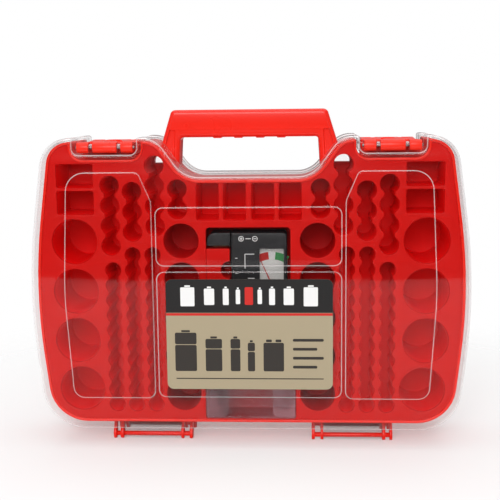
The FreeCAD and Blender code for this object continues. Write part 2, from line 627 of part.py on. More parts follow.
# ---- lids ----------------------------------------------------------------------------------------------
def lid_clip(x_from, x_to):
    """The clip that holds a lid on its axle, with its web up to the lid."""
    axis_z = -HINGE_DROP + EAR_R
    ring_r = AXLE_R + AXLE_GAP + CLIP_WALL
    ring = rod_x(-HINGE_Y, axis_z, ring_r, x_from, x_to)
    web = block(x_from, x_to, -HINGE_Y - WEB_T / 2, -HINGE_Y + WEB_T / 2, axis_z, 0.5)
    solid = ring.fuse(web).cut(rod_x(-HINGE_Y, axis_z, AXLE_R + AXLE_GAP, x_from - 1, x_to + 1))
    mouth = Part.makeBox(x_to - x_from + 2, ring_r * 2, CLIP_MOUTH,
                         vec(x_from - 1, -HINGE_Y, up(axis_z) - CLIP_MOUTH / 2))
    mouth.rotate(vec(0, -HINGE_Y, up(axis_z)), vec(1, 0, 0), -35)
    return solid.cut(mouth)


def latch_lugs():
    """The two lugs of a lid that carry a latch's pin, at the right side."""
    lugs = []
    for x in (LATCH_X - LUG_SPREAD / 2, LATCH_X + LUG_SPREAD / 2):
        foot = block(x - LUG_WIDTH / 2, x + LUG_WIDTH / 2, -LATCH_PIN_Y - LUG_R, -LATCH_PIN_Y + LUG_R,
                     NOTCH_FLOOR - LID_WALL / 2, LATCH_PIN_Z)
        lug = foot.fuse(rod_x(-LATCH_PIN_Y, LATCH_PIN_Z, LUG_R, x - LUG_WIDTH / 2, x + LUG_WIDTH / 2))
        lugs.append(lug.cut(rod_x(-LATCH_PIN_Y, LATCH_PIN_Z, LATCH_PIN_R, x - LUG_WIDTH, x + LUG_WIDTH)))
    return lugs


def panels(y_from, y_to):
    """The four raised panels of a lid's face."""
    loops = [rectangle(-MID_PANEL_HALF, MID_PANEL_HALF, low, high, PANEL_CORNER_R)
             for low, high in (UPPER_PANEL, LOWER_PANEL)]
    side = list(SIDE_PANEL)
    loops += [side, [(-x, z, r) for x, z, r in reversed(side)]]
    return [slab(loop, y_from, y_to) for loop in loops]


def lid():
    """The front lid: a clear shell with a notch over each latch, raised panels, clips and lugs."""
    outline = lid_outline()
    shell = slab(outline, -LID_FACE, -PARTING)
    face_edges = [e for e in shell.Edges if abs(e.BoundBox.YMax + LID_FACE) < 1e-6]
    shell = shell.makeFillet(RIM_ROUND, face_edges)
    shell = shell.cut(slab(inset(outline, LID_WALL), -LID_FACE + LID_WALL, -PARTING))
    clips = both_sides([lid_clip(EARS[1][1] + CLIP_SIDE_GAP, EARS[2][0] - CLIP_SIDE_GAP)])
    lugs = both_sides(latch_lugs())
    return fused([shell] + clips + lugs + panels(-LID_FACE - PANEL_RISE, -LID_FACE + 0.5))


def latch():
    """The front right latch: a roll about its pin, a plate back to the catch and a thumb tab."""
    x_from, x_to = LATCH_X - LATCH_WIDTH / 2, LATCH_X + LATCH_WIDTH / 2
    top = LATCH_PIN_Z + LATCH_ROLL_R
    roll = rod_x(-LATCH_PIN_Y, LATCH_PIN_Z, LATCH_ROLL_R, x_from, x_to)
    plate = block(x_from, x_to, -LATCH_PIN_Y, -LATCH_NOSE_Y, top - LATCH_PLATE_T, top)
    stop = block(x_from + 6, x_to - 6, -CATCH_HALF_Y - 2.4, -CATCH_HALF_Y - 1.2, top - LATCH_PLATE_T - 3,
                 top - LATCH_PLATE_T)
    tab_r = (TAB_WIDTH ** 2 / 4 + TAB_RISE ** 2) / (2 * TAB_RISE)
    tab = rod_y(LATCH_X, top + TAB_RISE - tab_r, tab_r, -LATCH_NOSE_Y - 7.0, -LATCH_NOSE_Y)
    tab = tab.common(block(LATCH_X - TAB_WIDTH, LATCH_X + TAB_WIDTH, -LATCH_NOSE_Y - 8, 0, top - 1, top + 9))
    solid = fused([roll, plate, stop, tab])
    for x in (LATCH_X - LUG_SPREAD / 2, LATCH_X + LUG_SPREAD / 2):
        half = LUG_WIDTH / 2 + LUG_GAP
        solid = solid.cut(rod_x(-LATCH_PIN_Y, LATCH_PIN_Z, LATCH_ROLL_R + 1.0, x - half, x + half))
    return solid.cut(rod_x(-LATCH_PIN_Y, LATCH_PIN_Z, LATCH_PIN_R + LATCH_RUN_GAP, x_from - 1, x_to + 1))


def latch_pin():
    reach = LATCH_WIDTH / 2 + LATCH_PIN_OVERHANG
    return rod_x(-LATCH_PIN_Y, LATCH_PIN_Z, LATCH_PIN_R, LATCH_X - reach, LATCH_X + reach)


def label():
    """The label on the front lid's lower panel."""
    face = LID_FACE + PANEL_RISE
    return slab(rectangle(-LABEL_HALF, LABEL_HALF, LABEL_LOW, LABEL_TOP, LABEL_R), -face - LABEL_T, -face)


# ---- bin and tester ------------------------------------------------------------------------------------
def button_cell_bin():
    """The clear bin for button cells, open to the front, with two flat tabs across its mouth."""
    x_out, low, high = BAY_HALF - BIN_GAP, TRAY_LOW + BIN_GAP, BAY_TOP - BIN_GAP
    mouth, back = -DECK_FACE - BIN_TAB_T, -DECK_FACE + BIN_DEPTH
    shell = slab(rectangle(-x_out, x_out, low, high, 1.8), mouth, back)
    hollow = rectangle(-x_out + BIN_WALL, x_out - BIN_WALL, low + BIN_WALL, high - BIN_WALL, 1.0)
    shell = shell.cut(slab(hollow, mouth, back - BIN_WALL))
    tab = slab([(BIN_TAB_IN, low + 1.5, BIN_TAB_R), (x_out - 0.5, low + 1.5, 0.5),
                (x_out - 0.5, high - 0.5, 0.5), (BIN_TAB_IN, high - 0.5, BIN_TAB_R)],
               mouth, mouth + BIN_TAB_T)
    return fused([shell] + both_sides([tab]))


def tester_outline(distance):
    """The tester's L-shaped outline: a tall body with a foot to the left."""
    r = TESTER_CORNER_R
    return inset([(TESTER_LEFT, TESTER_LOW, r), (TESTER_RIGHT, TESTER_LOW, r), (TESTER_RIGHT, TESTER_TOP, r),
                  (TESTER_SPINE, TESTER_TOP, 0.6), (TESTER_SPINE, FOOT_TOP, 1.5), (TESTER_LEFT, FOOT_TOP, r)],
                 distance)


def tester_shells():
    """(front shell, rear shell): hollow halves that meet at a seam, with slots for jaw and window."""
    face, seam, back = -TESTER_FRONT, -TESTER_FRONT + TESTER_SEAM, -TESTER_FRONT + TESTER_T
    inner = tester_outline(TESTER_WALL)
    front = slab(tester_outline(0.0), face, seam).cut(slab(inner, face + TESTER_WALL, seam))
    rear = slab(tester_outline(0.0), seam, back).cut(slab(inner, seam, back - TESTER_WALL))
    window = rectangle(WINDOW_LEFT, WINDOW_RIGHT, WINDOW_LOW, WINDOW_TOP, 1.0)
    front = front.cut(slab(window, face, face + TESTER_WALL))
    reach, length, thick = JAW_TONGUE
    slot = block(TESTER_SPINE - 1, TESTER_SPINE + reach + 1, seam - thick / 2 - JAW_GAP,
                 seam + thick / 2 + JAW_GAP, TESTER_TOP - TESTER_WALL - length - 1, TESTER_TOP + 1)
    posts = [rod_y(x, z, SCREW_R + 1.6, seam, back - TESTER_WALL) for x, z in screw_places()]
    rear = fused([rear] + posts)
    for x, z in screw_places():
        rear = rear.cut(rod_y(x, z, SCREW_R, seam - 1, back + 1))
        rear = rear.cut(rod_y(x, z, SCREW_HEAD_R, back - SCREW_HEAD_T, back + 1))
    bosses = [rod_y(x, z, SCREW_R + 1.6, face + TESTER_WALL, seam) for x, z in screw_places()]
    front = fused([front] + bosses)
    for x, z in screw_places():
        front = front.cut(rod_y(x, z, SCREW_R, back - SCREW_HEAD_T - SCREW_LENGTH - 8, seam + 1))
    return front.cut(slot), rear.cut(slot)


def screw_places():
    edge = TESTER_WALL + 2.6
    return [(TESTER_RIGHT - edge, TESTER_LOW + edge), (TESTER_LEFT + edge, TESTER_LOW + edge),
            (TESTER_RIGHT - edge, WINDOW_TOP + 4.6), (0.0, WINDOW_TOP + 4.6)]


def tester_screws():
    back = -TESTER_FRONT + TESTER_T
    screws = []
    for x, z in screw_places():
        shank = rod_y(x, z, SCREW_R, back - SCREW_HEAD_T - SCREW_LENGTH - 7.5, back - 0.4)
        head = rod_y(x, z, SCREW_HEAD_R - 0.1, back - SCREW_HEAD_T, back - 0.2)
        screws.append(shank.fuse(head).removeSplitter())
    return screws


def tester_jaw():
    """The sliding jaw: an arm to the left with a tongue in the body's slot."""
    seam, back = -TESTER_FRONT + TESTER_SEAM, -TESTER_FRONT + TESTER_T
    arm = slab([(TESTER_LEFT, JAW_LOW, 1.0), (TESTER_SPINE - JAW_GAP, JAW_LOW, 0.4),
                (TESTER_SPINE - JAW_GAP, TESTER_TOP, 0.4), (TESTER_LEFT, TESTER_TOP, 7.0)],
               -TESTER_FRONT + JAW_SETBACK, back - JAW_SETBACK)
    reach, length, thick = JAW_TONGUE
    low, top = TESTER_TOP - TESTER_WALL - length, TESTER_TOP - TESTER_WALL - JAW_TRAVEL - JAW_GAP
    tongue = block(TESTER_SPINE, TESTER_SPINE + reach, seam - thick / 2, seam + thick / 2, low, top)
    neck = block(TESTER_SPINE - JAW_GAP - 1, TESTER_SPINE + 1, seam - thick / 2, seam + thick / 2,
                 JAW_LOW + 0.5, top)
    return fused([arm, neck, tongue])


def contacts():
    """(jaw contact, foot contact): bent plates that touch a cell's two ends."""
    y_from, y_to = -TESTER_FRONT + 5.0, -TESTER_FRONT + TESTER_T - 5.0
    x_from, x_to = TESTER_LEFT + 4.0, TESTER_SPINE - 3.0
    upper = block(x_from, x_to, y_from, y_to, JAW_LOW - CONTACT_T, JAW_LOW)
    lower = block(x_from, x_to, y_from, y_to, FOOT_TOP, FOOT_TOP + CONTACT_T)
    return upper, lower


def meter():
    """(window, dial, pivot, needle) of the tester's meter."""
    face = -TESTER_FRONT
    window = slab(rectangle(WINDOW_LEFT + 0.1, WINDOW_RIGHT - 0.1, WINDOW_LOW + 0.1, WINDOW_TOP - 0.1, 1.0),
                  face + 0.2, face + 0.2 + WINDOW_T)
    rim = 1.6
    lens = rectangle(WINDOW_LEFT - rim, WINDOW_RIGHT + 0.4, WINDOW_LOW - rim, WINDOW_TOP + rim, 1.0)
    window = window.fuse(slab(lens, face + TESTER_WALL, face + TESTER_WALL + 0.8)).removeSplitter()
    window = window.fuse(slab(rectangle(WINDOW_LEFT + 0.1, WINDOW_RIGHT - 0.1, WINDOW_LOW + 0.1,
                                        WINDOW_TOP - 0.1, 1.0), face + 0.2 + WINDOW_T,
                              face + TESTER_WALL + 0.8)).removeSplitter()
    dial_y = face + 0.2 + DIAL_DROP + 1.6
    dial = slab(lens, dial_y, dial_y + DIAL_T)
    dial = dial.cut(rod_y(PIVOT_X, PIVOT_Z, PIVOT_R, dial_y - 1, dial_y + 3))
    pivot = rod_y(PIVOT_X, PIVOT_Z, PIVOT_R, dial_y - 2.2, dial_y + DIAL_T + 1.0)
    needle_y = dial_y - 1.5
    hub = rod_y(PIVOT_X, PIVOT_Z, PIVOT_R + 1.2, needle_y, needle_y + NEEDLE_T)
    arm = block(PIVOT_X - NEEDLE_R, PIVOT_X + NEEDLE_R, needle_y, needle_y + NEEDLE_T, PIVOT_Z,
                PIVOT_Z + NEEDLE_REACH)
    arm.rotate(vec(PIVOT_X, 0, up(PIVOT_Z)), Y_AXIS, -24)
    needle = hub.fuse(arm).removeSplitter()
    needle = needle.cut(rod_y(PIVOT_X, PIVOT_Z, PIVOT_R + NEEDLE_RUN_GAP, needle_y - 1, needle_y + 2))
    return window, dial, pivot, needle


def within_case(shapes):
    """The shapes trimmed to the room inside the case's band."""
    room = case_slab(BAND_WALL + FIT_GAP, -DECK_FACE, DECK_FACE)
    return [shape.common(room) for shape in shapes]


# ---- write every node ----------------------------------------------------------------------------------
os.makedirs("parts", exist_ok=True)

save("case_body", [case_body()])
save("front_deck", [front_deck()])
save("d_cell_cups", both_sides(within_case([d_cup(x, z) for x, z in d_wells()])))
hole_x, hole_z = highest_aa()
c_top_wall = rod_y(C_X, C_TOP, C_WELL_R + CUP_WALL, -DECK_FACE, DECK_FACE)
aa_racks = []
for column_x, column_heights in aa_columns():
    for piece in column_rack(column_x, column_heights, AA_WELL_R, AA_TILE_HALF, cup_depth(AA_CELL_LENGTH)):
        if column_x == hole_x:
            piece = piece.cut(hang_hole(hole_x, hole_z, 0.0, BAND_FRONT)).cut(c_top_wall)
        aa_racks.append(piece)
aa_walls = Part.makeCompound(aa_racks)
save("c_cell_cups", both_sides([c_cup(x, z, aa_walls) for x, z in c_wells()]))
save("aa_cell_racks", both_sides(within_case(aa_racks)))
save("aaa_cell_racks", both_sides([piece for column_x, column_heights in aaa_columns()
                                   for piece in column_rack(column_x, column_heights, AAA_WELL_R,
                                                            AAA_TILE_HALF, cup_depth(AAA_CELL_LENGTH))]))
save("nine_volt_cups", both_sides(within_case([nine_volt_cup(*well) for well in nine_volt_wells()])))
save("centre_tray", [centre_tray()])

front_lid = lid()
save("front_lid", [front_lid])
save("rear_lid", [turned_back(front_lid)])
save("label", [label()])

right_latch = latch()
save("front_right_latch", [right_latch])
save("front_left_latch", [flipped(right_latch)])
save("rear_right_latch", [turned_back(right_latch)])
save("rear_left_latch", [turned_back(flipped(right_latch))])
front_pins = both_sides([latch_pin()])
save("front_latch_pins", front_pins)
save("rear_latch_pins", [turned_back(pin) for pin in front_pins])

save("button_cell_bin", [button_cell_bin()])
front_shell, rear_shell = tester_shells()
save("tester_front_shell", [front_shell])
save("tester_rear_shell", [rear_shell])
save("tester_screws", tester_screws())
save("tester_jaw", [tester_jaw()])
jaw_contact, foot_contact = contacts()
save("jaw_contact", [jaw_contact])
save("foot_contact", [foot_contact])
window, dial, pivot, needle = meter()
save("meter_window", [window])
save("meter_dial", [dial])
save("needle_pivot", [pivot])
save("meter_needle", [needle])
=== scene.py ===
import logging
import math
from dataclasses import dataclass, field
from enum import Enum
from typing import Callable, Iterable, Sequence

import bmesh
import bpy
from mathutils import Matrix, Vector
from mathutils.geometry import tessellate_polygon

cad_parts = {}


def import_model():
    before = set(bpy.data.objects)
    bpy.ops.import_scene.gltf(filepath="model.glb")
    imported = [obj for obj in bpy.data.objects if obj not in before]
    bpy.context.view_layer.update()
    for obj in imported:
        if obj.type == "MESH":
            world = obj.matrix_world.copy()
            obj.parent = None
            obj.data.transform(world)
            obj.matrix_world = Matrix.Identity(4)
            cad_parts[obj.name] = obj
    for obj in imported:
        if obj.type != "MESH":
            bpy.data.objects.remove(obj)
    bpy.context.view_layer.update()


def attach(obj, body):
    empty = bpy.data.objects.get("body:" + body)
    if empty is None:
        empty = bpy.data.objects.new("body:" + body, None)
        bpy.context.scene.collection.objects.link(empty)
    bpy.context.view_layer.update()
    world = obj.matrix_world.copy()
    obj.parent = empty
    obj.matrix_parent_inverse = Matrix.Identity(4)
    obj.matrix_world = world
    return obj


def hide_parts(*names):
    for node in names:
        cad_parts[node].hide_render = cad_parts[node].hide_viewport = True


LOG = logging.getLogger("battery_case")
MM = 0.001
LIFT = 16.0  # the lids' lower edge above the table; every v below is measured from that edge
QUARTER = (0.0, math.pi / 6, math.pi / 3, math.pi / 2)
SIDES = (1, -1)
MIRROR_X = Matrix.Scale(-1.0, 4, (1, 0, 0))
MIRROR_Y = Matrix.Scale(-1.0, 4, (0, 1, 0))

Point = tuple[float, float]
Corner = tuple[float, float, float]
Solid = tuple[float, float, float]
Box = tuple[float, float, float, float]
Color = tuple[float, float, float]
Outliner = Callable[[float], list[Point]]
Ring = list[int]
Socket = bpy.types.NodeSocket


class Facing(Enum):
    """Which way a profile is extruded: through the case's depth (u is x) or along its width (u is y)."""

    DEPTH = "depth"
    WIDTH = "width"

    def place(self, u: float, v: float, d: float) -> Solid:
        """Returns the place, in metres, of profile coordinates u and v at distance d."""
        x, y = (u, d) if self is Facing.DEPTH else (d, u)
        return (x * MM, y * MM, (v + LIFT) * MM)


# ---- plane geometry ------------------------------------------------------------------------------------
def inset(corners: Sequence[Corner], distance: float) -> list[Corner]:
    """Moves an anticlockwise loop of rounded corners inwards.

    Args:
        corners: Vertices as (u, v, radius).
        distance: How far inwards; negative moves outwards.

    Returns:
        The moved vertices with their radii adjusted.
    """
    smallest = 0.12
    moved = []
    for k, (u, v, r) in enumerate(corners):
        (ua, va, _), (ub, vb, _) = corners[k - 1], corners[(k + 1) % len(corners)]
        la, lb = math.hypot(u - ua, v - va), math.hypot(ub - u, vb - v)
        ax, ay, bx, by = (u - ua) / la, (v - va) / la, (ub - u) / lb, (vb - v) / lb
        scale = distance / (1 + ax * bx + ay * by)
        turn = ax * by - ay * bx
        radius = r - distance if turn > 0 else r + distance
        moved.append((u - scale * (ay + by), v + scale * (ax + bx), max(radius, smallest)))
    return moved


def rounded(corners: Sequence[Corner], steps: int = 7) -> list[Point]:
    """Turns a loop of rounded corners into points, steps + 1 for every corner.

    Args:
        corners: Vertices as (u, v, radius).
        steps: Segments in each corner's arc.

    Returns:
        The loop's points in the same sense as its corners.
    """
    straight = 1e-3
    points: list[Point] = []
    for k, (u, v, r) in enumerate(corners):
        (ua, va, _), (ub, vb, _) = corners[k - 1], corners[(k + 1) % len(corners)]
        la, lb = math.hypot(ua - u, va - v), math.hypot(ub - u, vb - v)
        ax, ay, bx, by = (ua - u) / la, (va - v) / la, (ub - u) / lb, (vb - v) / lb
        half = math.acos(max(-1.0, min(1.0, ax * bx + ay * by))) / 2
        if half > math.pi / 2 - straight:
            points += [(u, v)] * (steps + 1)
            continue
        back = r / math.tan(half)
        mx, my = ax + bx, ay + by
        length = math.hypot(mx, my)
        cu, cv = u + mx / length * r / math.sin(half), v + my / length * r / math.sin(half)
        start = math.atan2(v + ay * back - cv, u + ax * back - cu)
        end = math.atan2(v + by * back - cv, u + bx * back - cu)
        sweep = (end - start + math.pi) % (2 * math.pi) - math.pi
        points += arc(cu, cv, r, start, start + sweep, steps)
    return points


def arc(u: float, v: float, r: float, start: float, end: float, steps: int) -> list[Point]:
    """Returns the points of an arc about u, v, from one angle to another."""
    angles = [start + (end - start) * i / steps for i in range(steps + 1)]
    return [(u + r * math.cos(t), v + r * math.sin(t)) for t in angles]


def box_corners(u0: float, u1: float, v0: float, v1: float, r: float) -> list[Corner]:
    """Returns a rectangle's corners, anticlockwise, with one radius."""
    return [(u0, v0, r), (u1, v0, r), (u1, v1, r), (u0, v1, r)]


def circle(u: float, v: float, r: float, steps: int = 56) -> list[Point]:
    """Returns a circle's points, anticlockwise."""
    return arc(u, v, r, 0.0, 2 * math.pi, steps)[:-1]


def chain(u: float, heights: Sequence[float], r: float, half: float) -> list[Point]:
    """Returns the outline of a column of round wells that a straight channel joins.

    Args:
        u: The column's middle.
        heights: Heights of the wells' centres.
        r: Radius of a well.
        half: Half the channel's width.

    Returns:
        The points, anticlockwise, starting at the bottom right.
    """
    steps = 14
    rows = sorted(heights)
    bite = math.asin(min(0.999, half / r))
    quarter = math.pi / 2
    right, left = [], []
    for v in rows:
        low = quarter if v == rows[0] else quarter - bite
        high = quarter if v == rows[-1] else quarter - bite
        right += arc(u, v, r, -low, high, steps)
        left = arc(u, v, r, math.pi - high, math.pi + low, steps) + left
    return right + left


def mirror_points(points: Sequence[Point]) -> list[Point]:
    """Returns a loop mirrored left for right, still anticlockwise."""
    return [(-u, v) for u, v in reversed(points)]


def mirror_corners(corners: Sequence[Corner]) -> list[Corner]:
    """Returns rounded corners mirrored left for right, still anticlockwise."""
    return [(-u, v, r) for u, v, r in reversed(corners)]


def corner_outline(corners: Sequence[Corner], steps: int = 6) -> Outliner:
    """Returns an outline function for a loop of rounded corners."""
    return lambda grow: rounded(inset(corners, -grow), steps)


def circle_outline(u: float, v: float, r: float) -> Outliner:
    """Returns an outline function for a circle."""
    return lambda grow: circle(u, v, r + grow)


def chain_outline(u: float, heights: Sequence[float], r: float, half: float, side: int = 1) -> Outliner:
    """Returns an outline function for a column of wells, mirrored where side is -1."""
    turn = list if side > 0 else mirror_points
    return lambda grow: turn(chain(u, heights, r + grow, half + grow))


def half_disc(u: float, v: float, r: float, floor: float) -> Outliner:
    """Returns an outline function for the part of a circle above a level.

    Args:
        u: The circle's middle.
        v: Its height.
        r: Its radius.
        floor: The level.

    Returns:
        The outline function.
    """
    def outline(grow: float) -> list[Point]:
        """Returns the loop for an outward offset."""
        low = math.asin(max(-0.99, min(0.99, (floor - grow - v) / (r + grow))))
        return arc(u, v, r + grow, low, math.pi - low, 24)
    return outline


def edge_profile(r: float, steps: int = 4) -> list[Point]:
    """Returns a quarter round from a wall to a face as (inset, distance below the face)."""
    turns = [math.pi / 2 * k / steps for k in range(steps + 1)] if r > 0 else [0.0]
    return [(r - r * math.cos(t), r - r * math.sin(t)) for t in turns]


@dataclass
class Pocket:
    """A hollow or a raised field in the front of a slab.

    Attributes:
        outline: Gives the pocket's loop for an outward offset, always with the same number of points.
        depth: How deep it goes; None goes right through and a negative depth is a raised field.
        lip: Radius of the rounded edge at its mouth, or the width of a raised field's slope.
        floor_round: Radius between its wall and its floor.
    """

    outline: Outliner
    depth: float | None
    lip: float = 0.5
    floor_round: float = 0.8


# ---- mesh building -------------------------------------------------------------------------------------
class MeshBuilder:
    """Collects rings of vertices, the walls between them and their caps, and makes an object of them."""

    SLOPE = ((1.0, 0.0), (0.80, 0.06), (0.62, 0.26), (0.40, 0.74), (0.20, 0.95), (0.0, 1.0))

    def __init__(self, facing: Facing = Facing.DEPTH) -> None:
        """Starts an empty mesh.

        Args:
            facing: Which way its profiles are extruded.
        """
        self.facing = facing
        self.verts: list[Solid] = []
        self.faces: list[tuple[int, ...]] = []
        self.flat: set[int] = set()

    def ring(self, loop: Sequence[Point], d: float) -> Ring:
        """Adds a loop at one distance and returns its vertex numbers."""
        self.verts += [self.facing.place(u, v, d) for u, v in loop]
        return list(range(len(self.verts) - len(loop), len(self.verts)))

    def bridge(self, a: Ring, b: Ring) -> None:
        """Adds the wall between two rings of the same count."""
        for k in range(len(a)):
            self.faces.append((a[k - 1], a[k], b[k], b[k - 1]))

    def loft(self, rings: Sequence[Ring]) -> None:
        """Adds the walls along a series of rings."""
        for a, b in zip(rings, rings[1:]):
            self.bridge(a, b)

    def cap(self, ring: Ring, holes: Iterable[Ring] = ()) -> None:
        """Fills a ring with flat faces.

        Args:
            ring: The ring.
            holes: Rings inside it that stay open.
        """
        rings = [ring, *holes]
        flat = [index for loop in rings for index in loop]
        first = len(self.faces)
        for triangle in tessellate_polygon([[self._flat(index) for index in loop] for loop in rings]):
            self.faces.append(tuple(flat[k] for k in triangle))
        self.flat.update(range(first, len(self.faces)))

    def _flat(self, index: int) -> Vector:
        """Returns a vertex in its profile's plane."""
        x, y, z = self.verts[index]
        return Vector((x if self.facing is Facing.DEPTH else y, z, 0.0))

    def prism(self, loop: Sequence[Point], start: float, end: float) -> None:
        """Adds a block with sharp edges.

        Args:
            loop: Its profile.
            start: Where it starts along the extrusion.
            end: Where it ends.
        """
        rings = [self.ring(loop, start), self.ring(loop, end)]
        self.loft(rings)
        self.cap(rings[0])
        self.cap(rings[1])

    def slab(self, outline: Outliner, front: float, back: float, front_round: float = 0.0,
             back_round: float = 0.0, pockets: Sequence[Pocket] = (), steps: int = 4) -> "MeshBuilder":
        """Adds a slab with rounded edges and pockets in its front.

        Args:
            outline: The slab's loop for an outward offset.
            front: Position of the face.
            back: Position of the back; the slab runs from front to back.
            front_round: Radius of the face's edge.
            back_round: Radius of the back's edge.
            pockets: Hollows, through holes and raised fields in the face.
            steps: Segments in each rounded edge.

        Returns:
            The builder.
        """
        way = 1.0 if back > front else -1.0
        head = [self.ring(outline(-i), front + way * d)
                for i, d in reversed(edge_profile(front_round, steps))]
        tail = [self.ring(outline(-i), back - way * d) for i, d in edge_profile(back_round, steps)]
        self.loft(head + tail)
        openings = [self.pocket(pocket, front, back, way) for pocket in pockets]
        self.cap(head[0], [mouth for mouth, _ in openings])
        self.cap(tail[-1], [outlet for _, outlet in openings if outlet is not None])
        return self

    def pocket(self, pocket: Pocket, front: float, back: float, way: float) -> tuple[Ring, Ring | None]:
        """Adds one pocket's lip, wall and floor.

        Args:
            pocket: The pocket.
            front: Position of the slab's face.
            back: Position of the slab's back.
            way: +1 if the slab runs towards +, or -1.

        Returns:
            The ring at its mouth, and the ring at the back if it goes through.
        """
        outline, lip, r = pocket.outline, pocket.lip, pocket.floor_round
        if pocket.depth is not None and pocket.depth < 0:
            rings = [self.ring(outline(lip * g), front + way * pocket.depth * d) for g, d in self.SLOPE]
            self.loft(rings)
            self.cap(rings[-1])
            return rings[0], None
        rings = [self.ring(outline(lip * (1 - math.sin(t))), front + way * lip * (1 - math.cos(t)))
                 for t in (QUARTER if lip > 0 else QUARTER[-1:])]
        if pocket.depth is None:
            rings.append(self.ring(outline(0.0), back))
            self.loft(rings)
            return rings[0], rings[-1]
        end = front + way * pocket.depth
        rings += [self.ring(outline(-r * (1 - math.cos(t))), end - way * r * (1 - math.sin(t)))
                  for t in QUARTER]
        self.loft(rings)
        self.cap(rings[-1])
        return rings[0], None

    def rod(self, u: float, v: float, r: float, start: float, end: float, edge: float = 0.2) -> "MeshBuilder":
        """Adds a rod along the extrusion, with rounded ends."""
        edge = min(edge, r * 0.5)
        return self.slab(lambda grow: circle(u, v, max(r + grow, 0.01), 32), start, end, edge, edge, steps=2)

    def cup(self, outline: Outliner, mouth: float, floor: float, wall: float,
            hole: Outliner | None = None, hole_end: float = 0.0) -> None:
        """Adds an open cup with thickness.

        Args:
            outline: The cup's inner outline function.
            mouth: Position of its mouth.
            floor: Position of its floor's inner face.
            wall: Wall thickness.
            hole: An opening in the floor.
            hole_end: Where the duct behind that opening ends.
        """
        r, duct_wall = 0.9, 0.8 * wall
        inner = [self.ring(outline(0.0), mouth)]
        inner += [self.ring(outline(-r * (1 - math.cos(t))), floor - r * (1 - math.sin(t))) for t in QUARTER]
        outer = [self.ring(outline(wall), mouth), self.ring(outline(wall), floor + wall)]
        self.bridge(outer[0], inner[0])
        self.loft(inner)
        self.loft(outer)
        if hole is None:
            self.cap(inner[-1])
            self.cap(outer[-1])
            return
        duct = [self.ring(hole(0.0), floor), self.ring(hole(0.0), hole_end)]
        skin = [self.ring(hole(duct_wall), floor + wall), self.ring(hole(duct_wall), hole_end)]
        self.cap(inner[-1], [duct[0]])
        self.cap(outer[-1], [skin[0]])
        self.loft(duct)
        self.loft(skin)
        self.bridge(duct[1], skin[1])

    def build(self, name: str, material: bpy.types.Material, smooth: float = 32.0,
              turn: Matrix | None = None) -> bpy.types.Object:
        """Makes the object, with merged vertices, outward normals and smooth shading below an angle.

        Args:
            name: The object's name.
            material: Its material.
            smooth: Edges sharper than this many degrees stay sharp.
            turn: A transform for the vertices, in metres.

        Returns:
            The new object, linked to the scene.
        """
        mesh = bpy.data.meshes.new(name)
        mesh.from_pydata([Vector(v) for v in self.verts], [], self.faces)
        mesh.polygons.foreach_set("use_smooth", [k not in self.flat for k in range(len(self.faces))])
        bm = bmesh.new()
        bm.from_mesh(mesh)
        bmesh.ops.remove_doubles(bm, verts=bm.verts, dist=2e-6)
        bmesh.ops.dissolve_degenerate(bm, edges=bm.edges, dist=1e-7)
        if turn is not None:
            bmesh.ops.transform(bm, matrix=turn, verts=bm.verts)
        bmesh.ops.recalc_face_normals(bm, faces=bm.faces)
        bm.to_mesh(mesh)
        bm.free()
        mesh.set_sharp_from_angle(angle=math.radians(smooth))
        mesh.materials.append(material)
        made = bpy.data.objects.new(name, mesh)
        bpy.context.scene.collection.objects.link(made)
        LOG.info("%s: %d faces", name, len(mesh.polygons))
        return made


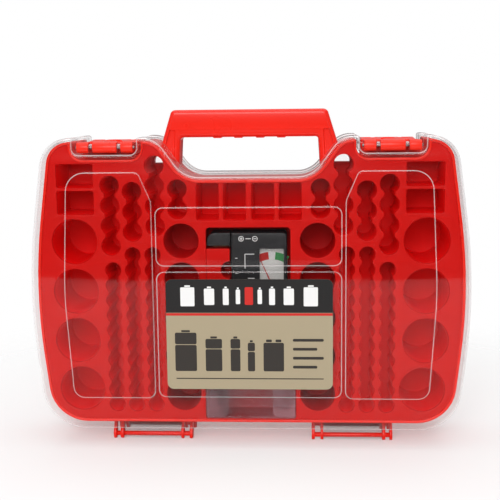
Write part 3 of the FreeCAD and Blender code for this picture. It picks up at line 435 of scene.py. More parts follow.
# ---- materials -----------------------------------------------------------------------------------------
class NodeTree:
    """A thin wrapper that adds and links nodes."""

    def __init__(self, tree: bpy.types.NodeTree) -> None:
        """Wraps a node tree."""
        self.tree = tree

    def add(self, kind: str, **values: object) -> bpy.types.Node:
        """Adds a node.

        Args:
            kind: The node's type.
            **values: Its properties, or its inputs' defaults where a name starts with in_.

        Returns:
            The node.
        """
        node = self.tree.nodes.new(kind)
        for key, value in values.items():
            if key.startswith("in_"):
                node.inputs[key[3:].replace("_", " ")].default_value = value
            else:
                setattr(node, key, value)
        return node

    def link(self, source: Socket, target: Socket) -> None:
        """Links two sockets."""
        self.tree.links.new(source, target)

    def math(self, operation: str, a: Socket | float, b: Socket | float = 0.0) -> Socket:
        """Adds a math node.

        Args:
            operation: The node's operation.
            a: Its first value, as a socket or a number.
            b: Its second value.

        Returns:
            Its output.
        """
        node = self.add("ShaderNodeMath", operation=operation)
        for k, value in enumerate((a, b)):
            if isinstance(value, Socket):
                self.link(value, node.inputs[k])
            else:
                node.inputs[k].default_value = value
        return node.outputs[0]

    def remap(self, value: Socket, low: float, high: float, start: float = 0.0, end: float = 1.0,
              kind: str = "LINEAR") -> Socket:
        """Maps one range of a value to another and clamps it there.

        Args:
            value: The value.
            low: Where the first range starts.
            high: Where it ends.
            start: The result at low.
            end: The result at high.
            kind: The node's interpolation.

        Returns:
            The node's output.
        """
        node = self.add("ShaderNodeMapRange", interpolation_type=kind, in_From_Min=low, in_From_Max=high,
                        in_To_Min=start, in_To_Max=end)
        self.link(value, node.inputs["Value"])
        return node.outputs["Result"]

    def blend(self, share: Socket, first: Socket, second: Socket) -> Socket:
        """Mixes two shaders.

        Args:
            share: How much of the second one shows.
            first: The first shader.
            second: The second shader.

        Returns:
            The mixed shader.
        """
        node = self.add("ShaderNodeMixShader")
        for k, source in enumerate((share, first, second)):
            self.link(source, node.inputs[k])
        return node.outputs["Shader"]

    def noise(self, scale: Socket | float, detail: float, roughness: float = 0.5) -> Socket:
        """Adds a noise in the object's own coordinates.

        Args:
            scale: Its scale, as a socket or a number.
            detail: Its detail.
            roughness: Its roughness.

        Returns:
            Its value.
        """
        node = self.add("ShaderNodeTexNoise", in_Detail=detail, in_Roughness=roughness)
        self.link(self.add("ShaderNodeTexCoord").outputs["Object"], node.inputs["Vector"])
        if isinstance(scale, Socket):
            self.link(scale, node.inputs["Scale"])
        else:
            node.inputs["Scale"].default_value = scale
        return node.outputs["Fac"]


def new_group(name: str, inputs: dict[str, Color | float],
              outputs: Sequence[str]) -> tuple[NodeTree, bpy.types.Node, bpy.types.Node]:
    """Makes a shader node group with its sockets.

    Args:
        name: The group's name.
        inputs: Default of every input; a tuple makes it a colour.
        outputs: Names of the outputs; one named Color is a colour.

    Returns:
        The group's wrapper, and its input and output nodes.
    """
    group = bpy.data.node_groups.new(name, "ShaderNodeTree")
    for label, default in inputs.items():
        kind = "NodeSocketColor" if isinstance(default, tuple) else "NodeSocketFloat"
        socket = group.interface.new_socket(name=label, in_out="INPUT", socket_type=kind)
        socket.default_value = default
    for label in outputs:
        kind = "NodeSocketColor" if label == "Color" else "NodeSocketFloat"
        group.interface.new_socket(name=label, in_out="OUTPUT", socket_type=kind)
    tree = NodeTree(group)
    return tree, tree.add("NodeGroupInput"), tree.add("NodeGroupOutput")


def tone_group() -> bpy.types.NodeTree:
    """Shifts a colour a little over the surface, darker and lighter in soft patches, and paints a highlight
    that makes its edges paler.

    Returns:
        The node group.
    """
    grey = (0.8, 0.8, 0.8, 1.0)
    t, start, end = new_group("moulded_tone_and_edge_highlight", {"Color": grey, "Amount": 0.04, "Scale": 30.0, "Edge Highlight": 0.1},
                              ("Color", "Mask"))
    patch = t.math("SUBTRACT", t.noise(start.outputs["Scale"], 3.0, 0.55), 0.5)
    shift = t.math("MULTIPLY", patch, start.outputs["Amount"])
    # Painted highlight: where pointiness finds an edge, the colour is made paler.
    ridge = t.remap(t.add("ShaderNodeNewGeometry").outputs["Pointiness"], 0.52, 0.62)
    edge = t.math("MULTIPLY", ridge, start.outputs["Edge Highlight"])
    tint = t.add("ShaderNodeHueSaturation")
    t.link(t.math("ADD", t.math("ADD", 1.0, shift), edge), tint.inputs["Value"])
    t.link(start.outputs["Color"], tint.inputs["Color"])
    t.link(tint.outputs["Color"], end.inputs["Color"])
    t.link(edge, end.inputs["Mask"])
    return t.tree


def grain_group() -> bpy.types.NodeTree:
    """Gives the fine uneven skin of a moulding as a bump height, with a roughness that varies in patches.

    Returns:
        The node group.
    """
    t, start, end = new_group("moulded_grain", {"Roughness": 0.3, "Spread": 0.05, "Scale": 900.0},
                              ("Height", "Roughness"))
    t.link(t.noise(start.outputs["Scale"], 2.0), end.inputs["Height"])
    patch = t.math("MULTIPLY", t.math("SUBTRACT", t.noise(55.0, 2.0), 0.5), start.outputs["Spread"])
    t.link(t.math("ADD", start.outputs["Roughness"], patch), end.inputs["Roughness"])
    return t.tree


def film_group() -> bpy.types.NodeTree:
    """Gives a mask for the faint film of dust and handling on clear plastic; on the bin the same mask also
    spreads painted pink light.

    Returns:
        The node group.
    """
    t, start, end = new_group("dust_and_painted_light_film", {"Amount": 0.02}, ("Mask",))
    band = t.remap(t.noise(24.0, 5.0, 0.6), 0.35, 0.75)
    t.link(t.math("MULTIPLY", band, start.outputs["Amount"]), end.inputs["Mask"])
    return t.tree


@dataclass
class Groups:
    """The node groups that the finishes share.

    Attributes:
        tone: Patches and the painted edge highlight.
        grain: The skin's height and roughness.
        film: Dust and handling on clear plastic, and painted pink light on the bin.
    """

    tone: bpy.types.NodeTree = field(default_factory=tone_group)
    grain: bpy.types.NodeTree = field(default_factory=grain_group)
    film: bpy.types.NodeTree = field(default_factory=film_group)


@dataclass(frozen=True)
class Plastic:
    """An opaque moulded or painted finish.

    Attributes:
        name: The material's name.
        color: Linear base colour.
        roughness: Mean roughness.
        grain: Depth of the skin's grain.
        metallic: 1 for a metal.
        variation: How far its tone shifts over the surface.
        edge: Strength of the painted highlight that makes its edges paler.
        specular: The Principled shader's specular level.
    """

    name: str
    color: Color
    roughness: float = 0.3
    grain: float = 0.02
    metallic: float = 0.0
    variation: float = 0.05
    edge: float = 0.08
    specular: float = 0.5

    def make(self, groups: Groups) -> bpy.types.Material:
        """Builds the material.

        Args:
            groups: The shared node groups.

        Returns:
            The material.
        """
        material = bpy.data.materials.new(self.name)
        material.use_nodes = True
        t = NodeTree(material.node_tree)
        shader = material.node_tree.nodes["Principled BSDF"]
        tone = t.add("ShaderNodeGroup", node_tree=groups.tone)
        tone.inputs["Color"].default_value = (*self.color, 1.0)
        tone.inputs["Amount"].default_value = self.variation
        # The edge value sets the painted highlight on the edges.
        tone.inputs["Edge Highlight"].default_value = self.edge
        grain = t.add("ShaderNodeGroup", node_tree=groups.grain)
        grain.inputs["Roughness"].default_value = self.roughness
        bump = t.add("ShaderNodeBump", in_Strength=self.grain, in_Distance=0.0004)
        t.link(tone.outputs["Color"], shader.inputs["Base Color"])
        t.link(grain.outputs["Roughness"], shader.inputs["Roughness"])
        t.link(grain.outputs["Height"], bump.inputs["Height"])
        t.link(bump.outputs["Normal"], shader.inputs["Normal"])
        shader.inputs["Metallic"].default_value = self.metallic
        shader.inputs["Specular IOR Level"].default_value = self.specular
        return material


@dataclass(frozen=True)
class ClearPlastic:
    """A clear moulded sheet: light goes straight through its faces, and its slants and edges look pale.

    Attributes:
        name: The material's name.
        tint: Colour of the light that comes through.
        ior: Index for the mirror share.
        haze: Share of pale scatter on slants and edges.
        film: Amount of dust and handling marks, which on the bin also carries painted pink light.
        depth: How much a wall that is seen along its length darkens what is behind it.
        scatter: Colour of the pale scatter; the bin's pink one is painted light from the red recess behind
            it.
    """

    name: str
    tint: Color = (0.985, 0.98, 0.98)
    ior: float = 1.24
    haze: float = 0.50
    film: float = 0.0015
    depth: float = 0.75
    scatter: Color = (0.90, 0.86, 0.86)

    def make(self, groups: Groups) -> bpy.types.Material:
        """Builds the material.

        Args:
            groups: The shared node groups.

        Returns:
            The material.
        """
        material = bpy.data.materials.new(self.name)
        material.use_nodes = True
        nodes = material.node_tree.nodes
        nodes.remove(nodes["Principled BSDF"])
        t = NodeTree(material.node_tree)
        angle = t.add("ShaderNodeLayerWeight", in_Blend=0.5).outputs["Facing"]
        film = t.add("ShaderNodeGroup", node_tree=groups.film, in_Amount=self.film).outputs["Mask"]
        skin = t.add("ShaderNodeBsdfPrincipled", in_Base_Color=(*self.scatter, 1.0), in_Roughness=0.35)
        share = t.math("ADD", t.math("MULTIPLY", self.slants(t, angle), self.haze), film)
        body = t.blend(share, self.through(t, angle), skin.outputs["BSDF"])
        mirror = t.add("ShaderNodeBsdfGlossy", in_Color=(1.0, 1.0, 1.0, 1.0), in_Roughness=0.03)
        gloss = t.math("MULTIPLY", self.gloss(t), t.remap(angle, 0.25, 0.80, 1.0, 0.35))
        whole = t.blend(gloss, body, mirror.outputs["BSDF"])
        t.link(whole, nodes["Material Output"].inputs["Surface"])
        return material

    def through(self, t: NodeTree, angle: Socket) -> Socket:
        """Gives the light from behind, darker where a wall is seen along its length.

        Args:
            t: The material's nodes.
            angle: How far the surface is turned from the viewer.

        Returns:
            The transparent shader.
        """
        node = t.add("ShaderNodeBsdfTransparent")
        tint = t.add("ShaderNodeMix", data_type="RGBA")
        tint.inputs["A"].default_value = (*self.tint, 1.0)
        tint.inputs["B"].default_value = (0.30, 0.28, 0.28, 1.0)
        t.link(t.math("MULTIPLY", t.math("POWER", angle, 12.0), self.depth), tint.inputs["Factor"])
        t.link(tint.outputs["Result"], node.inputs["Color"])
        return node.outputs["BSDF"]

    def gloss(self, t: NodeTree) -> Socket:
        """Gives the mirror share, the same from both sides of the sheet.

        Args:
            t: The material's nodes.

        Returns:
            The share.
        """
        node = t.add("ShaderNodeFresnel")
        inside = t.add("ShaderNodeNewGeometry").outputs["Backfacing"]
        swing = t.math("MULTIPLY", inside, 1.0 / self.ior - self.ior)
        t.link(t.math("ADD", swing, self.ior), node.inputs["IOR"])
        return node.outputs["Fac"]

    @staticmethod
    def slants(t: NodeTree, angle: Socket) -> Socket:
        """Gives a mask that is 0 on faces that look front or rear, 1 on rounds and slants, low on walls.

        Args:
            t: The material's nodes.
            angle: How far the surface is turned from the viewer.

        Returns:
            The mask, which also fades where a surface is seen flat on or edge-on.
        """
        ramp = t.add("ShaderNodeValToRGB")
        flat_on, edge_on = ramp.color_ramp.elements[0], ramp.color_ramp.elements[1]
        flat_on.position, flat_on.color = 0.02, (0.0, 0.0, 0.0, 1.0)
        edge_on.position, edge_on.color = 0.92, (0.10, 0.10, 0.10, 1.0)
        ramp.color_ramp.elements.new(0.24).color = (1.0, 1.0, 1.0, 1.0)
        t.link(angle, ramp.inputs["Fac"])
        axes = t.add("ShaderNodeSeparateXYZ")
        t.link(t.add("ShaderNodeTexCoord").outputs["Normal"], axes.inputs["Vector"])
        lean = t.math("ABSOLUTE", axes.outputs["Y"])
        slope = t.math("MULTIPLY", t.remap(lean, 0.985, 0.85), t.remap(lean, 0.15, 0.50, 0.25, 1.0))
        return t.math("MULTIPLY", ramp.outputs["Color"], slope)


class Finish(Enum):
    """Every finish on the object."""

    CASE = Plastic("case_red_plastic", (0.80, 0.013, 0.003), 0.28, 0.03, specular=0.36)
    # The deck and the wells are copies of the case's red plastic: the deck is darker, painting the shade
    # under the lid; the D, AA, AAA and 9 V wells are lighter, painting light inside them; the C wells are
    # darker, painting shade inside them.
    DECK_PAINTED_SHADE = Plastic("deck_red_plastic_painted_shade", (0.55, 0.0060, 0.0045), 0.34, 0.03, specular=0.08)
    WELL_PAINTED_LIGHT = Plastic("well_red_plastic_painted_light", (0.86, 0.0030, 0.0035), 0.40, 0.03, specular=0.06)
    C_WELL_PAINTED_SHADE = Plastic("c_cell_cup_red_plastic_painted_shade", (0.56, 0.0018, 0.0028), 0.40, 0.03, specular=0.06)
    LATCH = Plastic("latch_red_plastic", (0.84, 0.022, 0.008), 0.28, 0.02, specular=0.25)
    # The pins are a darker, reddish copy of the drawn steel, painting shade on them.
    PIN_PAINTED_SHADE = Plastic("pin_steel_painted_shade", (0.26, 0.20, 0.20), 0.38, 0.02, metallic=1.0, edge=0.0)
    STEEL = Plastic("drawn_steel", (0.62, 0.62, 0.63), 0.28, 0.02, metallic=1.0, edge=0.0)
    BRASS = Plastic("contact_brass", (0.78, 0.60, 0.30), 0.25, 0.02, metallic=1.0, edge=0.0)
    # The tester's high edge value paints a strong highlight on its edges.
    TESTER = Plastic("tester_black_plastic", (0.010, 0.010, 0.011), 0.42, 0.12, edge=0.5, specular=0.35)
    LABEL = Plastic("label_beige_film", (0.37, 0.31, 0.205), 0.5, 0.0, variation=0.03, edge=0.0, specular=0.2)
    HEADER = Plastic("label_black_ink", (0.012, 0.011, 0.011), 0.45, 0.0, edge=0.0, specular=0.25)
    INK = Plastic("label_dark_ink", (0.035, 0.03, 0.026), 0.5, 0.0, edge=0.0, specular=0.2)
    INK_RED = Plastic("label_red_ink", (0.55, 0.02, 0.015), 0.45, 0.0, edge=0.0, specular=0.25)
    WHITE = Plastic("print_white", (0.78, 0.78, 0.77), 0.5, 0.0, edge=0.0, specular=0.25)
    GREEN = Plastic("print_green", (0.05, 0.30, 0.09), 0.5, 0.0, edge=0.0, specular=0.25)
    DIAL = Plastic("dial_card", (0.74, 0.73, 0.70), 0.6, 0.0, edge=0.0, specular=0.2)
    NEEDLE = Plastic("needle_red_paint", (0.55, 0.02, 0.015), 0.4, 0.0, specular=0.3)
    LID = ClearPlastic("lid_clear_plastic")
    # The bin's large film share and pink scatter paint on it the pink of the lit red recess behind it.
    BIN = ClearPlastic("bin_clear_plastic", (0.99, 0.97, 0.98), 1.3, 0.25, 0.24, 0.3, (0.95, 0.36, 0.42))
    CLIP = ClearPlastic("clip_clear_plastic", (0.985, 0.97, 0.97), 1.2, 0.12, 0.0015, 0.5, (0.92, 0.80, 0.80))
    WINDOW = ClearPlastic("meter_window_plastic", (0.97, 0.97, 0.97), 1.47, 0.1, 0.005, 0.4)


class Workshop:
    """Makes each finish once and hands it out."""

    def __init__(self) -> None:
        """Builds the shared groups."""
        self.groups = Groups()
        self._made: dict[Finish, bpy.types.Material] = {}

    def get(self, finish: Finish) -> bpy.types.Material:
        """Hands out a finish.

        Args:
            finish: The finish.

        Returns:
            Its material, built the first time.
        """
        if finish not in self._made:
            self._made[finish] = finish.value.make(self.groups)
            LOG.info("material %s", finish.value.name)
        return self._made[finish]


# ---- the case's outlines -------------------------------------------------------------------------------
@dataclass(frozen=True)
class Outline:
    """The shared outline of the lids and, moved inwards, of the case.

    Attributes:
        foot: Lower corner's vertex and radius.
        waist: The bulging side's vertex and radius.
        head: Upper corner's vertex and radius.
        shoulder: Where the top edge turns down beside the handle.
        valley: Where it turns level under the handle.
        valley_slope: Angle whose tangent gives the shoulder's tangent length, in degrees.
        latch_u: Middle of a latch.
        notch: Width of the lids' notch.
        notch_floor: Its height.
        notch_r: Radius of its lower corners.
        body_gap: From the lids' outline to the case's.
        body_head_r: Radius of the case's upper corners.
        body_notch_floor: Height of the case's own notch.
        body_notch_r: Radius of its lower corners.
    """

    foot: Corner = (162.2, 0.0, 34.0)
    waist: Corner = (174.66, 113.0, 440.0)
    head: Corner = (158.4, 231.0, 23.0)
    shoulder: Corner = (71.0, 231.0, 20.0)
    valley: Corner = (49.0, 200.8, 22.0)
    valley_slope: float = 26.9
    latch_u: float = 110.4
    notch: float = 49.8
    notch_floor: float = 218.3
    notch_r: float = 5.0
    body_gap: float = 3.1
    body_head_r: float = 18.2
    body_notch_floor: float = 214.0
    body_notch_r: float = 9.0

    def _half(self, distance: float) -> list[Corner]:
        """Returns the right half's corners without notches, moved inwards."""
        right = [self.foot, self.waist, self.head, self.shoulder, self.valley]
        return inset(right + mirror_corners(right), distance)[:5]

    def lid(self, distance: float) -> list[Corner]:
        """Gives a lid's outline with its latch notches.

        Args:
            distance: How far inwards.

        Returns:
            Its corners.
        """
        half = self._half(distance)
        top, floor = half[2][1], self.notch_floor - distance
        right, left = self.latch_u + self.notch / 2 + distance, self.latch_u - self.notch / 2 - distance
        out, r = max(2.0 - distance, 0.15), self.notch_r + distance
        cut = [(right, top, out), (right, floor, r), (left, floor, r), (left, top, out)]
        loop = half[:3] + cut + half[3:]
        return loop + mirror_corners(loop)

    def body(self, distance: float) -> list[Corner]:
        """Gives the case's outline with its own notches.

        Args:
            distance: How far inwards from the case's outer wall.

        Returns:
            Its corners.
        """
        half = self._half(self.body_gap + distance)
        half[2] = (half[2][0], half[2][1], self.body_head_r - distance)
        top, floor = half[2][1], self.body_notch_floor - distance
        arc_start = half[3][0] + half[3][2] * math.tan(math.radians(self.valley_slope))
        reach = self.notch / 2 + self.body_gap - 0.5 + distance
        right, left = self.latch_u + reach, max(self.latch_u - reach, arc_start + 0.45)
        r = self.body_notch_r + distance
        cut = [(right, top, 1.2), (right, floor, r), (left, floor, r), (left, top, 0.4)]
        loop = half[:3] + cut + half[3:]
        return loop + mirror_corners(loop)

    def lid_loop(self, distance: float) -> Outliner:
        """Outline function of the lid, for outward offsets from a distance inside."""
        return lambda grow: rounded(self.lid(distance - grow), 8)

    def body_loop(self, distance: float) -> Outliner:
        """Outline function of the case, for outward offsets from a distance inside."""
        return lambda grow: rounded(self.body(distance - grow), 8)


@dataclass(frozen=True)
class WellKind:
    """How the wells for one kind of cell are made.

    Attributes:
        piece: Name of the piece that holds them.
        node: The CAD node.
        lip: Radius at their mouths in the deck.
        floor: Position of their floors.
        finish: Their finish.
    """

    piece: str
    node: str
    lip: float
    floor: float
    finish: Finish


class Cell(Enum):
    """The kinds of cell that the case holds."""

    # The wells' finishes paint light into the D, AA, AAA and 9 V wells and shade into the C wells.
    D = WellKind("d_cell_wells", "d_cell_cups", 0.9, 26.15, Finish.WELL_PAINTED_LIGHT)
    C = WellKind("c_cell_wells", "c_cell_cups", 0.8, 15.0, Finish.C_WELL_PAINTED_SHADE)
    AA = WellKind("aa_cell_wells", "aa_cell_racks", 0.45, 15.5, Finish.WELL_PAINTED_LIGHT)
    AAA = WellKind("aaa_cell_wells", "aaa_cell_racks", 0.45, 9.5, Finish.WELL_PAINTED_LIGHT)
    NINE_VOLT = WellKind("nine_volt_wells", "nine_volt_cups", 0.45, 13.5, Finish.WELL_PAINTED_LIGHT)


@dataclass(frozen=True)
class Wells:
    """Places and sizes of the wells on the right side; the left side mirrors them.

    Attributes:
        d_r: Radius of a D well.
        d_cells: Centres of the D wells.
        c_r: Radius of a C well.
        c_cells: Centres of the C wells.
        aa_r: Radius of an AA well.
        aa_pitch: Distance between AA wells.
        aa_columns: Middle, highest centre and count of each AA column.
        aaa_r: Radius of an AAA well.
        aaa_pitch: Distance between AAA wells.
        aaa_low: Height of the lowest AAA wells.
        aaa_columns: Middle and count of each AAA column.
        channel: Half the width of the channels along the columns.
        square: Middle, height and half sizes of each 9 V well.
        square_r: Radius of their corners.
        sight: Middle, height and radius of a hole that shows daylight.
        sight_floor: Where such a hole starts.
    """

    d_r: float = 17.8
    d_cells: tuple[Point, ...] = ((137.9, 149.7), (137.9, 109.9), (137.9, 70.1), (135.7, 30.3))
    c_r: float = 13.7
    c_cells: tuple[Point, ...] = ((53.4, 150.0), (53.4, 119.1), (53.4, 88.2), (53.4, 57.3), (53.4, 26.4))
    aa_r: float = 7.57
    aa_pitch: float = 15.9
    aa_columns: tuple[tuple[float, float, int], ...] = (
        (108.8, 193.9, 4), (91.4, 189.0, 3), (73.4, 209.3, 4), (55.75, 190.7, 2))
    aaa_r: float = 6.25
    aaa_pitch: float = 12.13
    aaa_low: float = 17.6
    aaa_columns: tuple[tuple[float, int], ...] = ((107.8, 10), (92.0, 11), (76.2, 11))
    channel: float = 4.15
    square: tuple[Box, ...] = (
        (136.1, 201.4, 14.55, 9.35), (136.1, 180.4, 14.55, 9.35), (11.0, 180.7, 8.8, 14.55),
        (32.2, 180.7, 8.8, 14.55))
    square_r: float = 1.8
    sight: Corner = (73.4, 209.3, 7.0)
    sight_floor: float = 208.4

    def aa(self) -> list[tuple[float, list[float]]]:
        """Each AA column's middle and the heights of its wells."""
        return [(u, [top - k * self.aa_pitch for k in range(n)]) for u, top, n in self.aa_columns]

    def aaa(self) -> list[tuple[float, list[float]]]:
        """Each AAA column's middle and the heights of its wells."""
        return [(u, [self.aaa_low + k * self.aaa_pitch for k in range(n)]) for u, n in self.aaa_columns]

    def outlines(self, cell: Cell, side: int) -> list[Outliner]:
        """Gives the wells for one kind of cell.

        Args:
            cell: The kind.
            side: +1 for the right side, -1 for the left.

        Returns:
            Their outline functions.
        """
        if cell is Cell.D:
            return [circle_outline(side * u, v, self.d_r) for u, v in self.d_cells]
        if cell is Cell.C:
            return [circle_outline(side * u, v, self.c_r) for u, v in self.c_cells]
        if cell is Cell.AA:
            return [chain_outline(u, rows, self.aa_r, self.channel, side) for u, rows in self.aa()]
        if cell is Cell.AAA:
            return [chain_outline(u, rows, self.aaa_r, self.channel, side) for u, rows in self.aaa()]
        return [corner_outline(box_corners(side * u - a, side * u + a, v - b, v + b, self.square_r))
                for u, v, a, b in self.square]


@dataclass(frozen=True)
class Fittings:
    """Axes that pieces share, as the distance from the mid-plane and the height.

    Attributes:
        hinge: A lid's hinge.
        pin: A latch's pin.
        lug: From a latch's middle to a lug of the lid.
        pin_reach: Half a pin's length.
        hinge_line: Where the clips start and end along the axle.
    """

    hinge: Point = (13.5, -12.0)
    pin: Point = (31.0, 223.6)
    lug: float = 11.0
    pin_reach: float = 23.1
    hinge_line: Point = (58.6, 105.4)


# ---- sub-assemblies ------------------------------------------------------------------------------------
@dataclass
class SubAssembly:
    """A group of pieces that share the workshop and the case's sizes.

    Attributes:
        shop: Hands out the finishes.
        outline: The case's outline.
        wells: The wells' places.
        fittings: The hinges' and pins' places.
    """

    shop: Workshop
    outline: Outline = field(default_factory=Outline)
    wells: Wells = field(default_factory=Wells)
    fittings: Fittings = field(default_factory=Fittings)

    def place(self, builder: MeshBuilder, name: str, finish: Finish, body: str, slot: str, *nodes: str,
              smooth: float = 32.0, turn: Matrix | None = None) -> None:
        """Makes a piece with its finish, puts it on its body and hides the CAD nodes it stands for.

        Args:
            builder: Holds the piece's faces.
            name: The piece's name.
            finish: Its finish.
            body: The CAD body it rides on.
            slot: Not used.
            *nodes: CAD nodes it stands for.
            smooth: Edges sharper than this many degrees stay sharp.
            turn: A transform for its vertices.
        """
        made = builder.build(name, self.shop.get(finish), smooth, turn)
        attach(made, body)
        if nodes:
            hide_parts(*nodes)
        LOG.info("placed %s on %s", made.name, body)


@dataclass
class CaseShell(SubAssembly):
    """The red case: band, rear deck with its bays, handle, catch blocks and hinge ears.

    Attributes:
        band_front: Mid-plane to the band's open edges.
        lip: Radius of those edges.
        wall: Thickness of the band.
        deck: Mid-plane to the decks' outer faces.
        deck_t: Their thickness.
        bay_in: Middle of the case to a bay.
        bay_out: Middle of the case to a bay's far side.
        bay_low: Height of the bays' lower side.
        bay_pitch: Height of one trough.
        bay_rows: Number of troughs.
        bay_back: Mid-plane to the bays' rear ends.
        bay_wall: Thickness of a bay's wall.
        bay_r: Radius of a bay's corners.
        run: Half the length of the troughs of one bay.
        divider: Half the gap between its two runs.
        ridge: Mid-plane to the ridges between the troughs.
        trough_r: A trough's radius.
        trough_y: Mid-plane to its axis.
        grip: Corners of the handle's outer edge, right side.
        window: Corners of its window, right side, from the top down.
        sunk: Corners of the sunk face on its right post.
        sunk_depth: Depth of that face.
        handle_y: Half the handle's depth.
        handle_r: Radius of its edges.
        bumps: Middles of the finger bumps.
        bump_y: Half a bump's depth.
        catch: Half depth, foot and top of a catch block.
        catch_reach: Half its length.
        ear_r: An ear's radius.
        axle_r: An axle's radius.
        ears: Start and end of each ear on the right side.
    """

    band_front: float = 29.2
    lip: float = 0.75
    wall: float = 2.2
    deck: float = 28.0
    deck_t: float = 1.8
    bay_in: float = 2.6
    bay_out: float = 110.4
    bay_low: float = 8.4
    bay_pitch: float = 15.3
    bay_rows: int = 12
    bay_back: float = 19.3
    bay_wall: float = 1.6
    bay_r: float = 1.2
    run: float = 53.15
    divider: float = 0.75
    ridge: float = 23.4
    trough_r: float = 7.6
    trough_y: float = 28.3
    grip: tuple[Corner, ...] = ((56.6, 204.4, 0.3), (70.9, 220.8, 0.3), (61.3, 251.5, 4.2))
    window: tuple[Corner, ...] = ((54.2, 230.0, 2.4), (55.5, 208.5, 1.2))
    sunk: tuple[Corner, ...] = (
        (59.6, 212.0, 0.8), (67.0, 221.3, 0.8), (62.6, 236.0, 1.0), (58.4, 236.0, 1.0))
    sunk_depth: float = 1.1
    handle_y: float = 10.9
    handle_r: float = 3.2
    bumps: tuple[float, ...] = (-25.2, -8.6, 8.6, 25.2)
    bump_y: float = 8.6
    catch: Corner = (10.7, 213.0, 224.9)
    catch_reach: float = 23.0
    ear_r: float = 4.0
    axle_r: float = 1.9
    ears: tuple[Point, ...] = ((48.7, 51.3), (55.9, 58.2), (105.8, 108.4), (111.8, 114.0))

    def build(self) -> None:
        """Builds every piece of the case."""
        for name, make in (("case_band", self.band), ("rear_deck", self.rear_deck),
                           ("rear_cell_troughs", self.troughs), ("handle", self.handle),
                           ("catch_blocks", self.catches), ("hinge_ears", self.hinges)):
            self.place(make(), name, Finish.CASE, "case", "case_red", "case_body")

    def band(self) -> MeshBuilder:
        """Draws the wall that runs round the case, with a rounded lip front and rear.

        Returns:
            Its faces.
        """
        builder = MeshBuilder()
        outer, inner = self.outline.body_loop(0.0), self.outline.body_loop(self.wall)
        path = [(i, d - self.band_front) for i, d in reversed(edge_profile(self.lip))]
        path += [(i, -y) for i, y in reversed(path)]
        outside = [builder.ring(outer(-i), y) for i, y in path]
        inside = [builder.ring(inner(i), y) for i, y in path]
        builder.loft(outside)
        builder.loft(inside)
        builder.bridge(outside[0], inside[0])
        builder.bridge(outside[-1], inside[-1])
        return builder

    def rear_deck(self) -> MeshBuilder:
        """Draws the rear deck with its two bays and the see-through holes.

        Returns:
            Its faces.
        """
        top = self.bay_low + self.bay_rows * self.bay_pitch
        bay = box_corners(self.bay_in, self.bay_out, self.bay_low, top, self.bay_r)
        bays = (bay, mirror_corners(bay))
        u, v, r = self.wells.sight
        pockets = [Pocket(corner_outline(hollow), None, 0.6) for hollow in bays]
        pockets += [Pocket(half_disc(side * u, v, r, self.wells.sight_floor), None, 0.3) for side in SIDES]
        builder = MeshBuilder()
        inner = self.deck - self.deck_t
        builder.slab(self.outline.body_loop(self.wall + 0.05), self.deck, inner, pockets=pockets)
        for hollow in bays:
            builder.slab(corner_outline(inset(hollow, -self.bay_wall)), inner + 0.02, self.bay_back, 0.0, 0.4,
                         [Pocket(corner_outline(hollow), None, 0.0)])
        return builder

    def troughs(self) -> MeshBuilder:
        """Draws the rows of troughs in the rear bays, for cells that lie on their sides.

        Returns:
            Their faces.
        """
        back, low, top = self.bay_back + 0.05, self.bay_low, self.bay_low + self.bay_rows * self.bay_pitch
        bite = math.acos((self.trough_y - self.ridge) / self.trough_r)
        wave = [point for row in range(self.bay_rows)
                for point in arc(self.trough_y, low + self.bay_pitch * (row + 0.5), self.trough_r,
                                 math.pi + bite, math.pi - bite, 12)]
        ends = [(back, low), (self.ridge, low)], [(self.ridge, top), (back, top)]
        hollowed, plain = ends[0] + wave + ends[1], ends[0] + ends[1]
        middle = (self.bay_in + self.bay_out) / 2
        cuts = (self.bay_in, middle - self.run, middle - self.divider, middle + self.divider,
                middle + self.run, self.bay_out)
        builder = MeshBuilder(Facing.WIDTH)
        for side in SIDES:
            for k, (start, end) in enumerate(zip(cuts, cuts[1:])):
                builder.prism(hollowed if k % 2 else plain, side * start, side * end)
        return builder

    def handle(self) -> MeshBuilder:
        """Draws the fixed handle: a grip on two splayed posts with sunk faces, and its finger bumps.

        Returns:
            Its faces.
        """
        loop = [*self.grip, *mirror_corners(self.grip), *mirror_corners(self.window), *self.window]
        pockets = [Pocket(corner_outline(face), self.sunk_depth, 0.5, 0.4)
                   for face in (self.sunk, mirror_corners(self.sunk))]
        builder = MeshBuilder()
        builder.slab(corner_outline(loop, 8), -self.handle_y, self.handle_y, self.handle_r, self.handle_r,
                     pockets, 6)
        for u in self.bumps:
            bump = [(u - 3.4, 229.2, 1.2), (u + 3.4, 229.2, 1.2), (u + 4.4, 233.0, 0.8),
                    (u - 4.4, 233.0, 0.8)]
            builder.slab(corner_outline(bump), -self.bump_y, self.bump_y, 1.2, 1.2)
        return builder

    def catches(self) -> MeshBuilder:
        """Draws the blocks between the latches, each with a rounded top.

        Returns:
            Their faces.
        """
        y, foot, top = self.catch
        profile = [(-y, foot, 0.2), (y, foot, 0.2), (y, top, 1.6), (-y, top, 1.6)]
        builder = MeshBuilder(Facing.WIDTH)
        for side in SIDES:
            middle, reach = side * self.outline.latch_u, self.catch_reach
            builder.slab(corner_outline(profile), middle - reach, middle + reach, 1.0, 1.0)
        return builder

